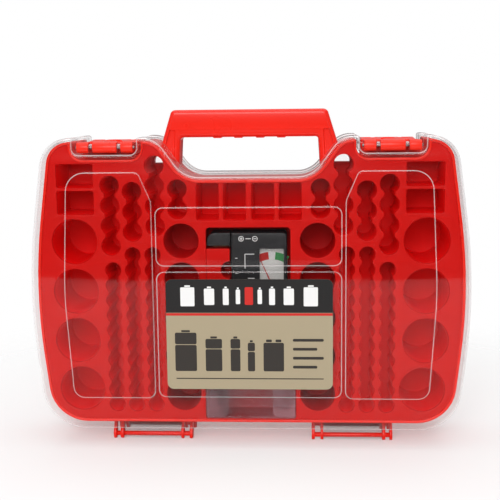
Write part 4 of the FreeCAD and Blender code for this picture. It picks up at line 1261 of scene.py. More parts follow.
    def hinges(self) -> MeshBuilder:
        """Draws the ears under the case and the axles between them.

        Returns:
            Their faces.
        """
        builder = MeshBuilder(Facing.WIDTH)
        (y, v), r = self.fittings.hinge, self.ear_r
        ear = [(-y - r, v - r, r * 0.98), (-y + r, v - r, r * 0.98), (-6.9, -1.0, 2.0), (-6.9, 4.4, 0.3),
               (-11.7, 4.4, 0.3), (-11.7, -0.9, 0.6), (-y - r, v + 2.0, 3.0)]
        for side in SIDES:
            for near, far in self.ears:
                low, high = sorted((side * near, side * far))
                for loop in (ear, mirror_corners(ear)):
                    builder.slab(corner_outline(loop), low, high, 0.35, 0.35, steps=2)
            low, high = sorted((side * (self.ears[0][0] + 0.5), side * (self.ears[-1][1] - 0.5)))
            for where in (-y, y):
                builder.rod(where, v, self.axle_r, low, high)
        return builder


@dataclass
class FrontDeck(SubAssembly):
    """The front deck with every well behind it, the tester's pocket and the bin's recess.

    Attributes:
        face: Mid-plane to the deck's face.
        thickness: The deck's thickness.
        cup_wall: Thickness of a cup's wall.
        tray_wall: Thickness of the tray's wall.
        pocket: The tester's pocket: sides, ends and corner radius.
        pocket_floor: Position of its floor.
        recess: The bin's recess: sides, ends and corner radius.
        recess_floor: Position of its floor.
        island: Corners of the block in the pocket, with its finger dip.
        duct_edge: From a well's wall to its see-through hole.
        duct_end: Where the see-through holes end.
    """

    face: float = -28.0
    thickness: float = 1.8
    cup_wall: float = 1.0
    tray_wall: float = 1.6
    pocket: tuple[float, ...] = (-33.9, 32.2, 54.0, 160.5, 3.0)
    pocket_floor: float = -4.0
    recess: tuple[float, ...] = (-36.2, 36.2, 5.9, 50.0, 2.0)
    recess_floor: float = 0.5
    island: tuple[Corner, ...] = (
        (-33.8, 75.0, 0.6), (-15.3, 75.0, 1.0), (-15.3, 119.7, 1.0), (-22.3, 119.9, 6.6), (-22.3, 133.5, 6.6),
        (-15.3, 133.7, 1.0), (-15.3, 143.7, 1.0), (-33.8, 143.7, 0.6))
    duct_edge: float = 0.6
    duct_end: float = 26.2

    def build(self) -> None:
        """Builds the deck, its wells and the centre."""
        self.deck()
        for cell in Cell:
            self.cups(cell)
        self.centre()

    def deck(self) -> None:
        """Builds the deck itself, with a rounded lip at every mouth."""
        pockets = [Pocket(outline, None, cell.value.lip) for side in SIDES for cell in Cell
                   for outline in self.wells.outlines(cell, side)]
        pockets += [Pocket(corner_outline(box_corners(*box)), None, 0.5)
                    for box in (self.pocket, self.recess)]
        builder = MeshBuilder().slab(self.outline.body_loop(2.25), self.face, self.face + self.thickness,
                                     pockets=pockets)
        self.place(builder, "front_deck_plate", Finish.DECK_PAINTED_SHADE, "case", "case_red", "front_deck")

    def cups(self, cell: Cell) -> None:
        """Builds the open cups of one kind behind the deck; the highest AA ones show daylight.

        Args:
            cell: The kind.
        """
        kind, builder, mouth = cell.value, MeshBuilder(), self.face + self.thickness
        u, v, _ = self.wells.sight
        for side in SIDES:
            daylight = half_disc(side * u, v, self.wells.aa_r - self.duct_edge, self.wells.sight_floor)
            for k, outline in enumerate(self.wells.outlines(cell, side)):
                hole = daylight if cell is Cell.AA and self.wells.aa_columns[k][0] == u else None
                builder.cup(outline, mouth, kind.floor, self.cup_wall, hole, self.duct_end)
        self.place(builder, kind.piece, kind.finish, "case", "well_red", kind.node)

    def centre(self) -> None:
        """Builds the tester's cradle with its finger-dipped island, and the bin's recess."""
        builder, mouth = MeshBuilder(), self.face + self.thickness
        for box, floor in ((self.pocket, self.pocket_floor), (self.recess, self.recess_floor)):
            builder.cup(corner_outline(box_corners(*box)), mouth, floor, self.tray_wall)
        builder.slab(corner_outline(self.island), self.face, self.pocket_floor - 0.1, 0.6)
        self.place(builder, "centre_cradle", Finish.DECK_PAINTED_SHADE, "case", "case_red", "centre_tray")


@dataclass
class Lid(SubAssembly):
    """A clear lid with raised panels, clips for its hinges and lugs for its latches.

    Attributes:
        side: -1 for the front lid, +1 for the rear one.
        face: Mid-plane to the lid's face.
        parting: Mid-plane to its open edge.
        wall: Its thickness.
        rim: Radius of its face's edge.
        rise: Height of its raised panels.
        slope: Width of their edges.
        centre_panels: Sides, ends and corner radius of the two panels in the middle.
        side_panel: Corners of the right panel.
        clip: Inner and outer radius of a clip.
        clip_mouth: Direction of its slit, in radians.
        clip_gap: Half the slit's width over the radius that it is measured at.
        lug: Corners of a lug's profile.
        lug_half: Half its thickness.
        pin_r: Radius of a latch's pin.
    """

    side: int = -1
    face: float = 37.35
    parting: float = 12.35
    wall: float = 1.8
    rim: float = 1.9
    rise: float = 0.8
    slope: float = 1.5
    centre_panels: tuple[tuple[float, ...], ...] = (
        (-72.0, 72.0, 131.7, 177.4, 6.0), (-72.0, 72.0, 26.5, 127.1, 6.0))
    side_panel: tuple[Corner, ...] = (
        (74.9, 25.6, 6.0), (140.0, 25.6, 9.0), (145.2, 108.0, 300.0), (140.6, 204.6, 15.0),
        (84.6, 204.6, 5.0), (74.9, 182.0, 10.0))
    clip: Point = (1.96, 3.56)
    clip_mouth: float = math.radians(145.0)
    clip_gap: float = math.asin(1.3 / 2.8)
    lug: tuple[Corner, ...] = (
        (-34.0, 217.6, 0.2), (-28.0, 217.6, 0.2), (-28.0, 226.6, 2.9), (-34.0, 226.6, 2.9))
    lug_half: float = 1.2
    pin_r: float = 1.25

    def build(self) -> None:
        """Builds the lid, its clips, its lugs and the latch pins."""
        end, turn = ("front", None) if self.side < 0 else ("rear", MIRROR_Y)
        body = end + "_lid"
        for name, finish, make in (("shell", Finish.LID, self.shell), ("clips", Finish.CLIP, self.clips),
                                   ("lugs", Finish.LID, self.lugs)):
            self.place(make(), f"{body}_{name}", finish, body, "clear", body, smooth=40.0, turn=turn)
        self.place(self.pins(), end + "_latch_pin_rods", Finish.PIN_PAINTED_SHADE, body, "steel", end + "_latch_pins",
                   turn=turn)

    def shell(self) -> MeshBuilder:
        """Draws the lid's shell, with raised panels, a rounded rim and a small bead at its open edge.

        Returns:
            Its faces.
        """
        builder = MeshBuilder()
        outer, inner = self.outline.lid_loop(0.0), self.outline.lid_loop(self.wall)
        face, parting, bead = -self.face, -self.parting, 0.4
        rings = [builder.ring(outer(-i), face + d) for i, d in reversed(edge_profile(self.rim, 6))]
        rings += [builder.ring(outer(0.0), parting - bead), builder.ring(outer(-bead), parting)]
        builder.loft(rings)
        panels = [box_corners(*box) for box in self.centre_panels]
        panels += [self.side_panel, mirror_corners(self.side_panel)]
        mouths = [builder.pocket(Pocket(corner_outline(inset(corners, 0.9), 8), -self.rise, self.slope),
                                 face, 0.0, 1.0)[0] for corners in panels]
        builder.cap(rings[0], mouths)
        inside = [builder.ring(inner(-i), face + self.wall + d)
                  for i, d in reversed(edge_profile(self.rim - self.wall, 5))]
        inside.append(builder.ring(inner(0.0), parting))
        builder.loft(inside)
        builder.cap(inside[0])
        builder.bridge(rings[-1], inside[-1])
        return builder

    def clips(self) -> MeshBuilder:
        """Draws the clips that hold the lid on its axles, each a split ring on a web.

        Returns:
            Their faces.
        """
        builder = MeshBuilder(Facing.WIDTH)
        y, v = -self.fittings.hinge[0], self.fittings.hinge[1]
        start, end = self.clip_mouth + self.clip_gap, self.clip_mouth - self.clip_gap
        loop = arc(y, v, self.clip[1], start, end + 2 * math.pi, 32)
        loop += arc(y, v, self.clip[0], end, start - 2 * math.pi, 32)
        web = box_corners(y - 1.0, y + 1.0, v + 3.0, 0.6, 0.1)
        for side in SIDES:
            a, b = sorted(side * u for u in self.fittings.hinge_line)
            builder.prism(loop, a, b)
            builder.slab(corner_outline(web, 2), a, b, 0.2, 0.2, steps=2)
        return builder

    def lugs(self) -> MeshBuilder:
        """Draws the lugs in the lid's notches that carry the latch pins.

        Returns:
            Their faces.
        """
        builder = MeshBuilder(Facing.WIDTH)
        for side in SIDES:
            for offset in (-self.fittings.lug, self.fittings.lug):
                middle, half = side * (self.outline.latch_u + offset), self.lug_half
                builder.slab(corner_outline(self.lug, 8), middle - half, middle + half, 0.25, 0.25, steps=2)
        return builder

    def pins(self) -> MeshBuilder:
        """Draws the steel pins through the latches.

        Returns:
            Their faces.
        """
        builder = MeshBuilder(Facing.WIDTH)
        y, v = self.fittings.pin
        for side in SIDES:
            middle, reach = side * self.outline.latch_u, self.fittings.pin_reach
            builder.rod(-y, v, self.pin_r, middle - reach, middle + reach, 0.35)
        return builder


@dataclass
class Latch(SubAssembly):
    """One latch: a roll round its pin in three runs, and a plate back to the catch with a thumb tab.

    Attributes:
        lateral: +1 for the right side, -1 for the left.
        side: -1 for the front, +1 for the rear.
        width: Its width.
        roll_r: Height of the roll's top over the pin.
        plate_t: The plate's thickness.
        runs: Start and end of each run of the roll, from the latch's middle.
        ribs: Start and end of each grip rib, from the latch's middle.
    """

    lateral: int = 1
    side: int = -1
    width: float = 43.4
    roll_r: float = 4.2
    plate_t: float = 2.4
    runs: tuple[Point, ...] = ((-21.7, -12.6), (-9.4, 9.4), (12.6, 21.7))
    ribs: tuple[Point, ...] = ((-19.0, -8.0), (8.0, 19.0))

    def build(self) -> None:
        """Builds the latch."""
        name = f"{'front' if self.side < 0 else 'rear'}_{'right' if self.lateral > 0 else 'left'}_latch"
        middle, half = self.outline.latch_u, self.width / 2
        y, top = -self.fittings.pin[0], self.fittings.pin[1] + self.roll_r
        under = top - self.plate_t
        builder = MeshBuilder(Facing.WIDTH)
        roll = [(y - 4.1, top - 8.3, 4.0), (y + 4.15, top - 8.3, 4.0), (y + 4.15, under, 0.5),
                (y + 6.0, under, 0.2), (y + 6.0, top - 0.1, 0.2), (y - 4.1, top - 0.1, 4.0)]
        for start, end in self.runs:
            builder.slab(corner_outline(roll, 8), middle + start, middle + end, 0.35, 0.35, steps=3)
        plate = [(y + 5.4, under, 0.4), (-9.1, under, 0.4), (-9.1, top - 1.2, 0.6), (-14.0, top - 0.7, 2.0),
                 (y + 5.4, top - 0.15, 0.4)]
        builder.slab(corner_outline(plate, 5), middle - half, middle + half, 0.6, 0.6, steps=3)
        stop = [(-13.2, top - 5.3, 0.5), (-12.0, top - 5.3, 0.5), (-11.8, top - 2.1, 0.2),
                (-13.6, top - 2.1, 0.2)]
        builder.slab(corner_outline(stop, 3), middle - half + 6.0, middle + half - 6.0, 0.4, 0.4, steps=2)
        self.thumb_tab(builder, top - 1.0)
        rib = [(-22.5, top - 0.6, 0.1), (-21.3, top - 0.6, 0.1), (-21.5, top - 0.05, 0.2),
               (-22.3, top - 0.05, 0.2)]
        for start, end in self.ribs:
            builder.slab(corner_outline(rib, 2), middle + start, middle + end, 0.15, 0.15, steps=2)
        turn = Matrix.Identity(4)
        if self.lateral < 0:
            turn = MIRROR_X @ turn
        if self.side > 0:
            turn = MIRROR_Y @ turn
        self.place(builder, name + "_flap", Finish.LATCH, name, "latch_red", name, smooth=34.0, turn=turn)

    def thumb_tab(self, builder: MeshBuilder, v: float) -> None:
        """Adds a low thumb tab: an arched block whose top falls away towards the pin.

        Args:
            builder: Takes the faces.
            v: Height of its foot.
        """
        u, half, rise, low, front, back, steps = self.outline.latch_u, 6.2, 1.4, 0.25, -9.3, -16.0, 8
        rows = []
        for k in range(steps + 1):
            s = k / steps
            height = rise * (1 - s) ** 1.3 + low
            arch = [(u + half * math.cos(math.pi * i / 16), v + height * math.sin(math.pi * i / 16))
                    for i in range(17)]
            loop = arch + [(u - half, v - 0.6), (u + half, v - 0.6)]
            first = len(builder.verts)
            builder.verts += [Facing.DEPTH.place(a, b, front + (back - front) * s) for a, b in loop]
            rows.append(list(range(first, len(builder.verts))))
        builder.loft(rows)
        builder.faces += [tuple(rows[0]), tuple(reversed(rows[-1]))]


@dataclass
class ButtonBin(SubAssembly):
    """The clear bin for button cells, with two tabs across its mouth.

    Attributes:
        outside: Sides, ends and corner radius of the bin.
        hollow: Sides, ends and corner radius of its hollow.
        span: Where the bin starts and ends.
        depth: Depth of its hollow.
        tab: Corners of the right tab.
        tab_span: Where the tabs start and end.
    """

    outside: tuple[float, ...] = (-35.7, 35.7, 6.4, 49.5, 1.8)
    hollow: tuple[float, ...] = (-34.2, 34.2, 7.9, 48.0, 1.0)
    span: Point = (-29.15, 0.0)
    depth: float = 27.6
    tab: tuple[Corner, ...] = ((17.8, 7.9, 4.0), (35.1, 7.9, 0.5), (35.1, 48.9, 0.5), (17.8, 48.9, 4.0))
    tab_span: Point = (-29.2, -28.0)

    def build(self) -> None:
        """Builds the bin and its tabs."""
        outside, hollow = (corner_outline(box_corners(*box)) for box in (self.outside, self.hollow))
        builder = MeshBuilder().slab(outside, *self.span, 0.3, 1.0, [Pocket(hollow, self.depth, 0.2)])
        for loop in (self.tab, mirror_corners(self.tab)):
            builder.slab(corner_outline(loop), *self.tab_span, 0.35, 0.2)
        self.place(builder, "button_bin", Finish.BIN, "bin", "clear", "button_cell_bin", smooth=40.0)


@dataclass
class Tester(SubAssembly):
    """The battery tester in its pocket: shells, sliding jaw, meter and contacts.

    Attributes:
        face: Mid-plane to its face.
        seam: Mid-plane to the seam between its shells.
        back: Mid-plane to its back.
        body: Corners of the body with its foot.
        window: Sides, ends and corner radius of the opening over the meter.
        window_depth: Its depth.
        groove: Sides, ends and corner radius of the shallow field below it.
        groove_depth: Its depth.
        arm: Corners of the jaw's arm.
        tongue: Sides, ends and corner radius of the tongue that slides in the body.
        tongue_half: Half its thickness.
        contact: Sides and thickness of a contact plate.
        contact_in: From the tester's face and back to a plate's edges.
        screws: Places of the screws.
        screw_r: Radius of a screw's head.
        slot: Half the length and half the width of its cross slot.
        pane: Sides, ends and corner radius of the window's pane.
        pane_span: Where the pane starts and ends.
        card: Sides, ends and corner radius of the dial.
        card_span: Where the dial starts and ends.
        pivot: Place of the needle's pivot.
        pin_r: Radius of the pivot's pin.
        pin_span: Where the pin starts and ends.
        hub_r: Outer and inner radius of the needle's hub.
        hub_span: Where the hub starts and ends.
        dial_r: Inner and outer radius of the coloured fields.
        dial_span: Where the fields start and end.
        dial: Finish of each field and its two edges, in degrees.
        needle: Half width at the foot and at the tip, and length, of the needle.
        needle_span: Where its blade starts and ends.
        needle_turn: The needle's angle to the left, in degrees.
        mark_r: Outer radius and width of the rings round the plus and minus marks.
        mark_centres: Places of those rings.
        marks: Sides and ends of the printed bars.
    """

    face: float = -27.6
    seam: float = -16.6
    back: float = -5.2
    body: tuple[Corner, ...] = (
        (-33.3, 56.5, 3.0), (29.5, 56.5, 3.0), (29.5, 156.3, 3.0), (-14.2, 156.3, 0.6), (-14.2, 68.0, 1.5),
        (-33.3, 68.0, 3.0))
    window: tuple[float, ...] = (7.8, 27.0, 110.0, 143.6, 1.0)
    window_depth: float = 5.2
    groove: tuple[float, ...] = (-11.6, 27.0, 60.0, 106.0, 2.0)
    groove_depth: float = 0.3
    arm: tuple[Corner, ...] = (
        (-33.3, 145.8, 1.0), (-14.55, 145.8, 0.4), (-14.55, 156.3, 0.4), (-33.3, 156.3, 6.5))
    tongue: tuple[float, ...] = (-15.4, -8.3, 128.4, 150.2, 0.5)
    tongue_half: float = 2.0
    contact: Corner = (-29.3, -17.2, 0.8)
    contact_in: float = 5.0
    screws: tuple[Point, ...] = ((24.9, 61.1), (-28.7, 61.1), (24.9, 148.2), (0.0, 148.2))
    screw_r: float = 2.5
    slot: Point = (1.5, 0.35)
    pane: tuple[float, ...] = (7.95, 26.85, 110.15, 143.45, 1.0)
    pane_span: Point = (-27.35, -26.0)
    card: tuple[float, ...] = (8.0, 26.8, 110.2, 143.4, 0.8)
    card_span: Point = (-22.75, -22.45)
    pivot: Point = (17.4, 114.5)
    pin_r: float = 1.0
    pin_span: Point = (-23.9, -22.5)
    hub_r: Point = (2.2, 1.05)
    hub_span: Point = (-23.85, -23.1)
    dial_r: Point = (20.0, 26.0)
    dial_span: Point = (-22.85, -22.76)
    dial: tuple[tuple[Finish, float, float], ...] = (
        (Finish.INK_RED, 118.0, 96.0), (Finish.WHITE, 95.0, 84.0), (Finish.GREEN, 83.0, 58.0))
    needle: Corner = (0.5, 0.18, 24.0)
    needle_span: Point = (-23.7, -23.2)
    needle_turn: float = 24.0
    mark_r: Point = (2.1, 0.45)
    mark_centres: tuple[Point, ...] = ((-6.2, 151.6), (4.6, 151.6))
    marks: tuple[Box, ...] = (
        (-7.4, -5.0, 151.35, 151.85), (3.4, 5.8, 151.35, 151.85), (-6.45, -5.95, 150.4, 152.8),
        (-2.8, 1.4, 151.35, 151.85), (-3.6, 4.0, 139.2, 139.7), (-3.6, -3.1, 128.0, 139.7),
        (-1.2, 4.0, 120.0, 120.5))

    def build(self) -> None:
        """Builds every piece of the tester."""
        self.shells()
        self.jaw()
        self.contacts()
        self.screw_heads()
        self.meter()
        self.pointer()
        self.print_marks()

    def shells(self) -> None:
        """Builds the front shell, open over the meter, and the rear shell."""
        body = corner_outline(self.body)
        pockets = [Pocket(corner_outline(box_corners(*self.window)), self.window_depth, 0.5, 0.2),
                   Pocket(corner_outline(box_corners(*self.groove)), self.groove_depth, 0.2, 0.1)]
        front = MeshBuilder().slab(body, self.face, self.seam + 0.15, 1.2, 0.0, pockets)
        self.place(front, "tester_front_case", Finish.TESTER, "tester", "tester_black", "tester_front_shell")
        rear = MeshBuilder().slab(body, self.seam, self.back, 0.25, 1.0)
        self.place(rear, "tester_rear_case", Finish.TESTER, "tester", "tester_black", "tester_rear_shell")

    def jaw(self) -> None:
        """Builds the sliding jaw: an arm with a tongue in the body."""
        builder = MeshBuilder().slab(corner_outline(self.arm), self.face + 0.3, self.back - 0.3, 1.0, 1.0)
        tongue, half = corner_outline(box_corners(*self.tongue)), self.tongue_half
        builder.slab(tongue, self.seam - half, self.seam + half, 0.3, 0.3)
        self.place(builder, "tester_jaw_arm", Finish.TESTER, "jaw", "tester_black", "tester_jaw")

    def contacts(self) -> None:
        """Builds the sprung contact on the foot and the one under the jaw."""
        left, right, thick = self.contact
        front, back = self.face + self.contact_in, self.back - self.contact_in
        foot, jaw = self.body[-1][1], self.arm[0][1] - thick
        for name, v, body in (("foot_contact", foot, "tester"), ("jaw_contact", jaw, "jaw")):
            plate = corner_outline(box_corners(left, right, v, v + thick, 0.2), 2)
            builder = MeshBuilder().slab(plate, front, back, 0.2, 0.2)
            self.place(builder, name + "_plate", Finish.BRASS, body, "brass", name)

    def screw_heads(self) -> None:
        """Builds the screws in the rear shell, each with a cross slot."""
        builder, (a, b) = MeshBuilder(), self.slot
        for u, v in self.screws:
            cross = [(u + i, v + j, 0.1) for i, j in (
                (-a, -b), (-b, -b), (-b, -a), (b, -a), (b, -b), (a, -b),
                (a, b), (b, b), (b, a), (-b, a), (-b, b), (-a, b))]
            builder.slab(circle_outline(u, v, self.screw_r), self.back - 0.05, self.back - 1.0, 0.3, 0.0,
                         [Pocket(corner_outline(cross, 2), 0.6, 0.0, 0.05)])
        self.place(builder, "tester_screw_heads", Finish.STEEL, "tester", "steel", "tester_screws")

    def meter(self) -> None:
        """Builds the meter's pane and its dial with the coloured fields."""
        pane = MeshBuilder().slab(corner_outline(box_corners(*self.pane)), *self.pane_span, 0.3, 0.2)
        self.place(pane, "meter_window_pane", Finish.WINDOW, "tester", "clear", "meter_window")
        card = MeshBuilder().slab(corner_outline(box_corners(*self.card)), *self.card_span)
        self.place(card, "dial_card", Finish.DIAL, "tester", "dial", "meter_dial")
        (inner, outer), (u, v) = self.dial_r, self.pivot
        for k, (finish, *edges) in enumerate(self.dial):
            start, end = (math.radians(edge) for edge in edges)
            sector = MeshBuilder()
            sector.prism(arc(u, v, inner, end, start, 8) + arc(u, v, outer, start, end, 8), *self.dial_span)
            self.place(sector, f"dial_field_{k + 1}", finish, "tester", "dial")

    def pointer(self) -> None:
        """Builds the needle and the pin that it turns on."""
        u, v = self.pivot
        pin = MeshBuilder().rod(u, v, self.pin_r, *self.pin_span)
        self.place(pin, "needle_pivot_pin", Finish.STEEL, "tester", "steel", "needle_pivot")
        foot, tip, length = self.needle
        turn = math.radians(self.needle_turn)
        c, s = math.cos(turn), math.sin(turn)
        blade = [(u + a * c - b * s, v + a * s + b * c, 0.08)
                 for a, b in ((-foot, 0.0), (foot, 0.0), (tip, length), (-tip, length))]
        builder = MeshBuilder().slab(corner_outline(blade, 2), *self.needle_span, 0.05, 0.05, steps=1)
        outer, inner = self.hub_r
        builder.slab(circle_outline(u, v, outer), *self.hub_span, 0.2, 0.1,
                     [Pocket(circle_outline(u, v, inner), None, 0.1)])
        self.place(builder, "meter_needle_blade", Finish.NEEDLE, "needle", "needle", "meter_needle")

    def print_marks(self) -> None:
        """Builds the plus and minus marks, the scale and the guide lines printed on the tester's face."""
        builder, front, back = MeshBuilder(), self.face - 0.06, self.face + 0.1
        for u, v in self.mark_centres:
            hole = Pocket(circle_outline(u, v, self.mark_r[0] - self.mark_r[1]), None, 0.0)
            builder.slab(circle_outline(u, v, self.mark_r[0]), front, back, pockets=[hole])
        scale = [(-11.0, -9.2 + 0.5 * (k % 2), 112.0 + 6.0 * k, 112.45 + 6.0 * k) for k in range(5)]
        for bar in (*self.marks, *scale):
            builder.slab(corner_outline(box_corners(*bar, 0.08), 1), front, back)
        self.place(builder, "tester_marks", Finish.WHITE, "tester", "dial")


@dataclass
class Label(SubAssembly):
    """The label on the front lid: a dark band over a beige field, with plain battery pictograms.

    Attributes:
        face: Mid-plane to the panel that it lies on.
        film: Sides, ends and corner radius of the film.
        film_y: The film's thickness.
        band: Corners of the dark band.
        band_y: How far the band's front and back stand off the panel.
        ink_y: How far the print's front and back stand off it.
        icons: Middle, width and height of each cell drawn on the band's right half.
        icon_line: Height of the icons' middle.
        cells: Middle, width and height of each large pictogram.
        foot: Height of the pictograms' feet.
        share: Share of a pictogram's height below its gap.
        block: Bars of the square cell and of the rule below.
        accents: The red rule under the band and the red cell in its middle.
    """

    face: float = -38.15
    film: tuple[float, ...] = (-65.1, 65.1, 33.4, 121.4, 5.0)
    film_y: float = 0.22
    band: tuple[Corner, ...] = (
        (-65.1, 94.9, 0.1), (65.1, 94.9, 0.1), (65.1, 121.4, 5.0), (-65.1, 121.4, 5.0))
    band_y: Point = (0.26, 0.2)
    ink_y: Point = (0.29, 0.24)
    icons: tuple[Corner, ...] = ((48.0, 11.0, 15.0), (31.0, 8.0, 13.0), (18.0, 4.6, 13.0), (8.5, 3.4, 11.5))
    icon_line: float = 107.6
    cells: tuple[Corner, ...] = (
        (-50.0, 17.0, 31.0), (-28.0, 13.0, 26.0), (-11.0, 7.6, 26.0), (1.5, 5.6, 23.0))
    foot: float = 48.0
    share: float = 0.68
    block: tuple[tuple[float, ...], ...] = (
        (11.0, 27.0, 48.0, 71.0, 1.2), (13.0, 17.6, 71.5, 73.6, 0.8), (20.4, 25.0, 71.5, 73.6, 0.8),
        (-58.0, 58.0, 41.6, 42.4, 0.3))
    accents: tuple[tuple[float, ...], ...] = (
        (-65.05, 65.05, 92.6, 94.6, 0.05), (-3.2, 3.2, 101.2, 115.2, 0.9))

    def build(self) -> None:
        """Builds the film and its print."""
        outline = corner_outline(box_corners(*self.film), 8)
        film = MeshBuilder().slab(outline, self.face - self.film_y, self.face)
        self.place(film, "label_film", Finish.LABEL, "front_lid", "label", "label")
        front, back = (self.face - y for y in self.band_y)
        band = MeshBuilder().slab(corner_outline(self.band, 8), front, back)
        self.place(band, "label_header", Finish.HEADER, "front_lid", "label")
        front, back = (self.face - y for y in self.ink_y)
        for name, finish, bars in (("icons", Finish.WHITE, self.icon_bars()),
                                   ("pictograms", Finish.INK, self.pictogram_bars()),
                                   ("accents", Finish.INK_RED, self.accents)):
            builder = MeshBuilder()
            for bar in bars:
                builder.slab(corner_outline(box_corners(*bar), 4), front, back)
            self.place(builder, "label_" + name, finish, "front_lid", "label")

    def icon_bars(self) -> list[tuple[float, ...]]:
        """Lays out the row of white cells in the dark band.

        Returns:
            Sides, ends and corner radius of each bar.
        """
        bars: list[tuple[float, ...]] = []
        for middle, wide, tall in self.icons:
            foot, top = self.icon_line - tall / 2, self.icon_line + tall / 2
            for u in (-middle, middle):
                bars += [(u - wide / 2, u + wide / 2, foot, top, 0.8),
                         (u - wide / 5, u + wide / 5, top + 0.35, top + 1.6, 0.3)]
        return bars

    def pictogram_bars(self) -> list[tuple[float, ...]]:
        """Lays out the dark cells of falling size and the lines beside them.

        Returns:
            Sides, ends and corner radius of each bar.
        """
        bars = list(self.block)
        bars += [(34.0, 58.0 - 5.0 * (k % 2), 72.0 - 7.2 * k, 74.2 - 7.2 * k, 0.9) for k in range(4)]
        for u, wide, tall in self.cells:
            gap, top = self.foot + tall * self.share, self.foot + tall
            bars += [(u - wide / 2, u + wide / 2, self.foot, gap, 1.2),
                     (u - wide / 2, u + wide / 2, gap + 0.6, top, 1.2),
                     (u - wide / 5, u + wide / 5, top + 0.4, top + 2.0, 0.4)]
        return bars


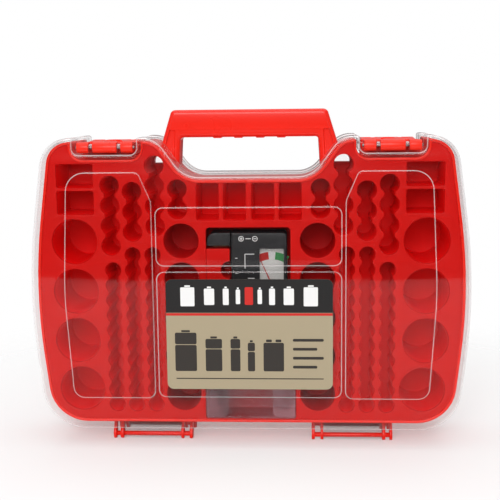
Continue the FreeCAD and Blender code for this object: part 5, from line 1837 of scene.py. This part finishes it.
# ---- stage ---------------------------------------------------------------------------------------------
@dataclass(frozen=True)
class Studio:
    """Floor, world, lamps and camera.

    Attributes:
        eye: The camera's place, in millimetres above the table.
        yaw: Its heading to the left of +Y, in degrees.
        pitch: How far it looks down.
        roll: Its roll.
        lens: Focal length on a 36 mm sensor.
        floor_sides: Half the floor's width, and its front and rear edges, in metres.
        target: What the lamps point at, in metres.
        softboxes: Name, place, size and power of each lamp.
    """

    eye: Solid = (42.63, -765.73, 254.56 + LIFT)
    yaw: float = -3.252
    pitch: float = 8.602
    roll: float = -0.651
    lens: float = 68.85
    floor_sides: Corner = (3.0, -0.785, 2.6)
    target: Solid = (0.0, 0.0, 0.12)
    softboxes: tuple[tuple[str, Solid, float, float], ...] = (
        ("front", (-0.1, -1.75, 0.98), 1.1, 23.5), ("top", (0.0, 0.0, 1.7), 1.6, 12.5))

    def build(self) -> None:
        """Builds the stage."""
        self.floor()
        self.world()
        self.lamps()
        self.camera()

    def floor(self) -> None:
        """Lays a white floor that ends in front of the camera and fades into the white background behind."""
        mesh = bpy.data.meshes.new("floor")
        w, front, rear = self.floor_sides
        corners = [(-w, front, 0.0), (w, front, 0.0), (w, rear, 0.0), (-w, rear, 0.0)]
        mesh.from_pydata(corners, [], [(0, 1, 2, 3)])
        floor = bpy.data.objects.new("floor", mesh)
        bpy.context.scene.collection.objects.link(floor)
        material = bpy.data.materials.new("floor_white")
        material.use_nodes = True
        t = NodeTree(material.node_tree)
        shader = material.node_tree.nodes["Principled BSDF"]
        shader.inputs["Base Color"].default_value = (0.94, 0.94, 0.94, 1.0)
        shader.inputs["Roughness"].default_value = 0.9
        shader.inputs["Specular IOR Level"].default_value = 0.1
        reach = t.add("ShaderNodeVectorMath", operation="LENGTH")
        t.link(t.add("ShaderNodeTexCoord").outputs["Object"], reach.inputs[0])
        fade = t.remap(reach.outputs["Value"], 0.20, 0.50, 0.30, kind="SMOOTHSTEP")
        gone = t.math("MULTIPLY", fade, t.add("ShaderNodeLightPath").outputs["Is Camera Ray"])
        mixed = t.blend(gone, shader.outputs["BSDF"], t.add("ShaderNodeBsdfTransparent").outputs["BSDF"])
        t.link(mixed, material.node_tree.nodes["Material Output"].inputs["Surface"])
        mesh.materials.append(material)

    def world(self) -> None:
        """Sets white behind the object, and for everything else a soft bright room above a dark one."""
        world = bpy.data.worlds.new("studio")
        bpy.context.scene.world = world
        world.use_nodes = True
        t = NodeTree(world.node_tree)
        room = world.node_tree.nodes["Background"]
        room.inputs["Color"].default_value = (1.0, 1.0, 1.0, 1.0)
        axes = t.add("ShaderNodeSeparateXYZ")
        t.link(t.add("ShaderNodeTexCoord").outputs["Generated"], axes.inputs["Vector"])
        t.link(t.remap(axes.outputs["Z"], -0.02, 0.06, 0.03, 0.48), room.inputs["Strength"])
        seen = t.add("ShaderNodeBackground", in_Color=(1.0, 1.0, 1.0, 1.0), in_Strength=1.0)
        mixed = t.blend(t.add("ShaderNodeLightPath").outputs["Is Camera Ray"], room.outputs["Background"],
                        seen.outputs["Background"])
        t.link(mixed, world.node_tree.nodes["World Output"].inputs["Surface"])

    def lamps(self) -> None:
        """Hangs two large soft lamps, one in front and one above."""
        for name, where, size, power in self.softboxes:
            data = bpy.data.lights.new(name, "AREA")
            data.shape, data.size, data.energy = "SQUARE", size, power
            lamp = bpy.data.objects.new(name, data)
            lamp.location = where
            lamp.rotation_mode = "QUATERNION"
            lamp.rotation_quaternion = (Vector(self.target) - Vector(where)).to_track_quat("-Z", "Y")
            bpy.context.scene.collection.objects.link(lamp)

    def camera(self) -> None:
        """Sets up the camera at the object's usual viewing angle."""
        data = bpy.data.cameras.new("view")
        data.lens, data.sensor_width = self.lens, 36.0
        data.clip_start, data.clip_end = 0.05, 20.0
        camera = bpy.data.objects.new("view", data)
        y, p, r = math.radians(self.yaw), math.radians(self.pitch), math.radians(self.roll)
        forward = Vector((math.sin(y) * math.cos(p), math.cos(y) * math.cos(p), -math.sin(p)))
        level = Vector((math.cos(y), -math.sin(y), 0.0))
        upright = level.cross(forward)
        right = level * math.cos(r) + upright * math.sin(r)
        up = -level * math.sin(r) + upright * math.cos(r)
        matrix = Matrix((right, up, -forward)).transposed().to_4x4()
        matrix.translation = Vector(self.eye) * MM
        camera.matrix_world = matrix
        bpy.context.scene.collection.objects.link(camera)
        bpy.context.scene.camera = camera


def main() -> None:
    """Loads the frame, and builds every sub-assembly and the stage."""
    logging.basicConfig(level=logging.INFO, format="%(message)s")
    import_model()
    scene = bpy.context.scene
    scene.view_settings.view_transform = "Standard"
    shop = Workshop()
    CaseShell(shop).build()
    FrontDeck(shop).build()
    Lid(shop, side=-1).build()
    Lid(shop, side=1).build()
    for lateral in SIDES:
        for side in (-1, 1):
            Latch(shop, lateral=lateral, side=side).build()
    ButtonBin(shop).build()
    Tester(shop).build()
    Label(shop).build()
    Studio().build()


if __name__ == "__main__":
    main()
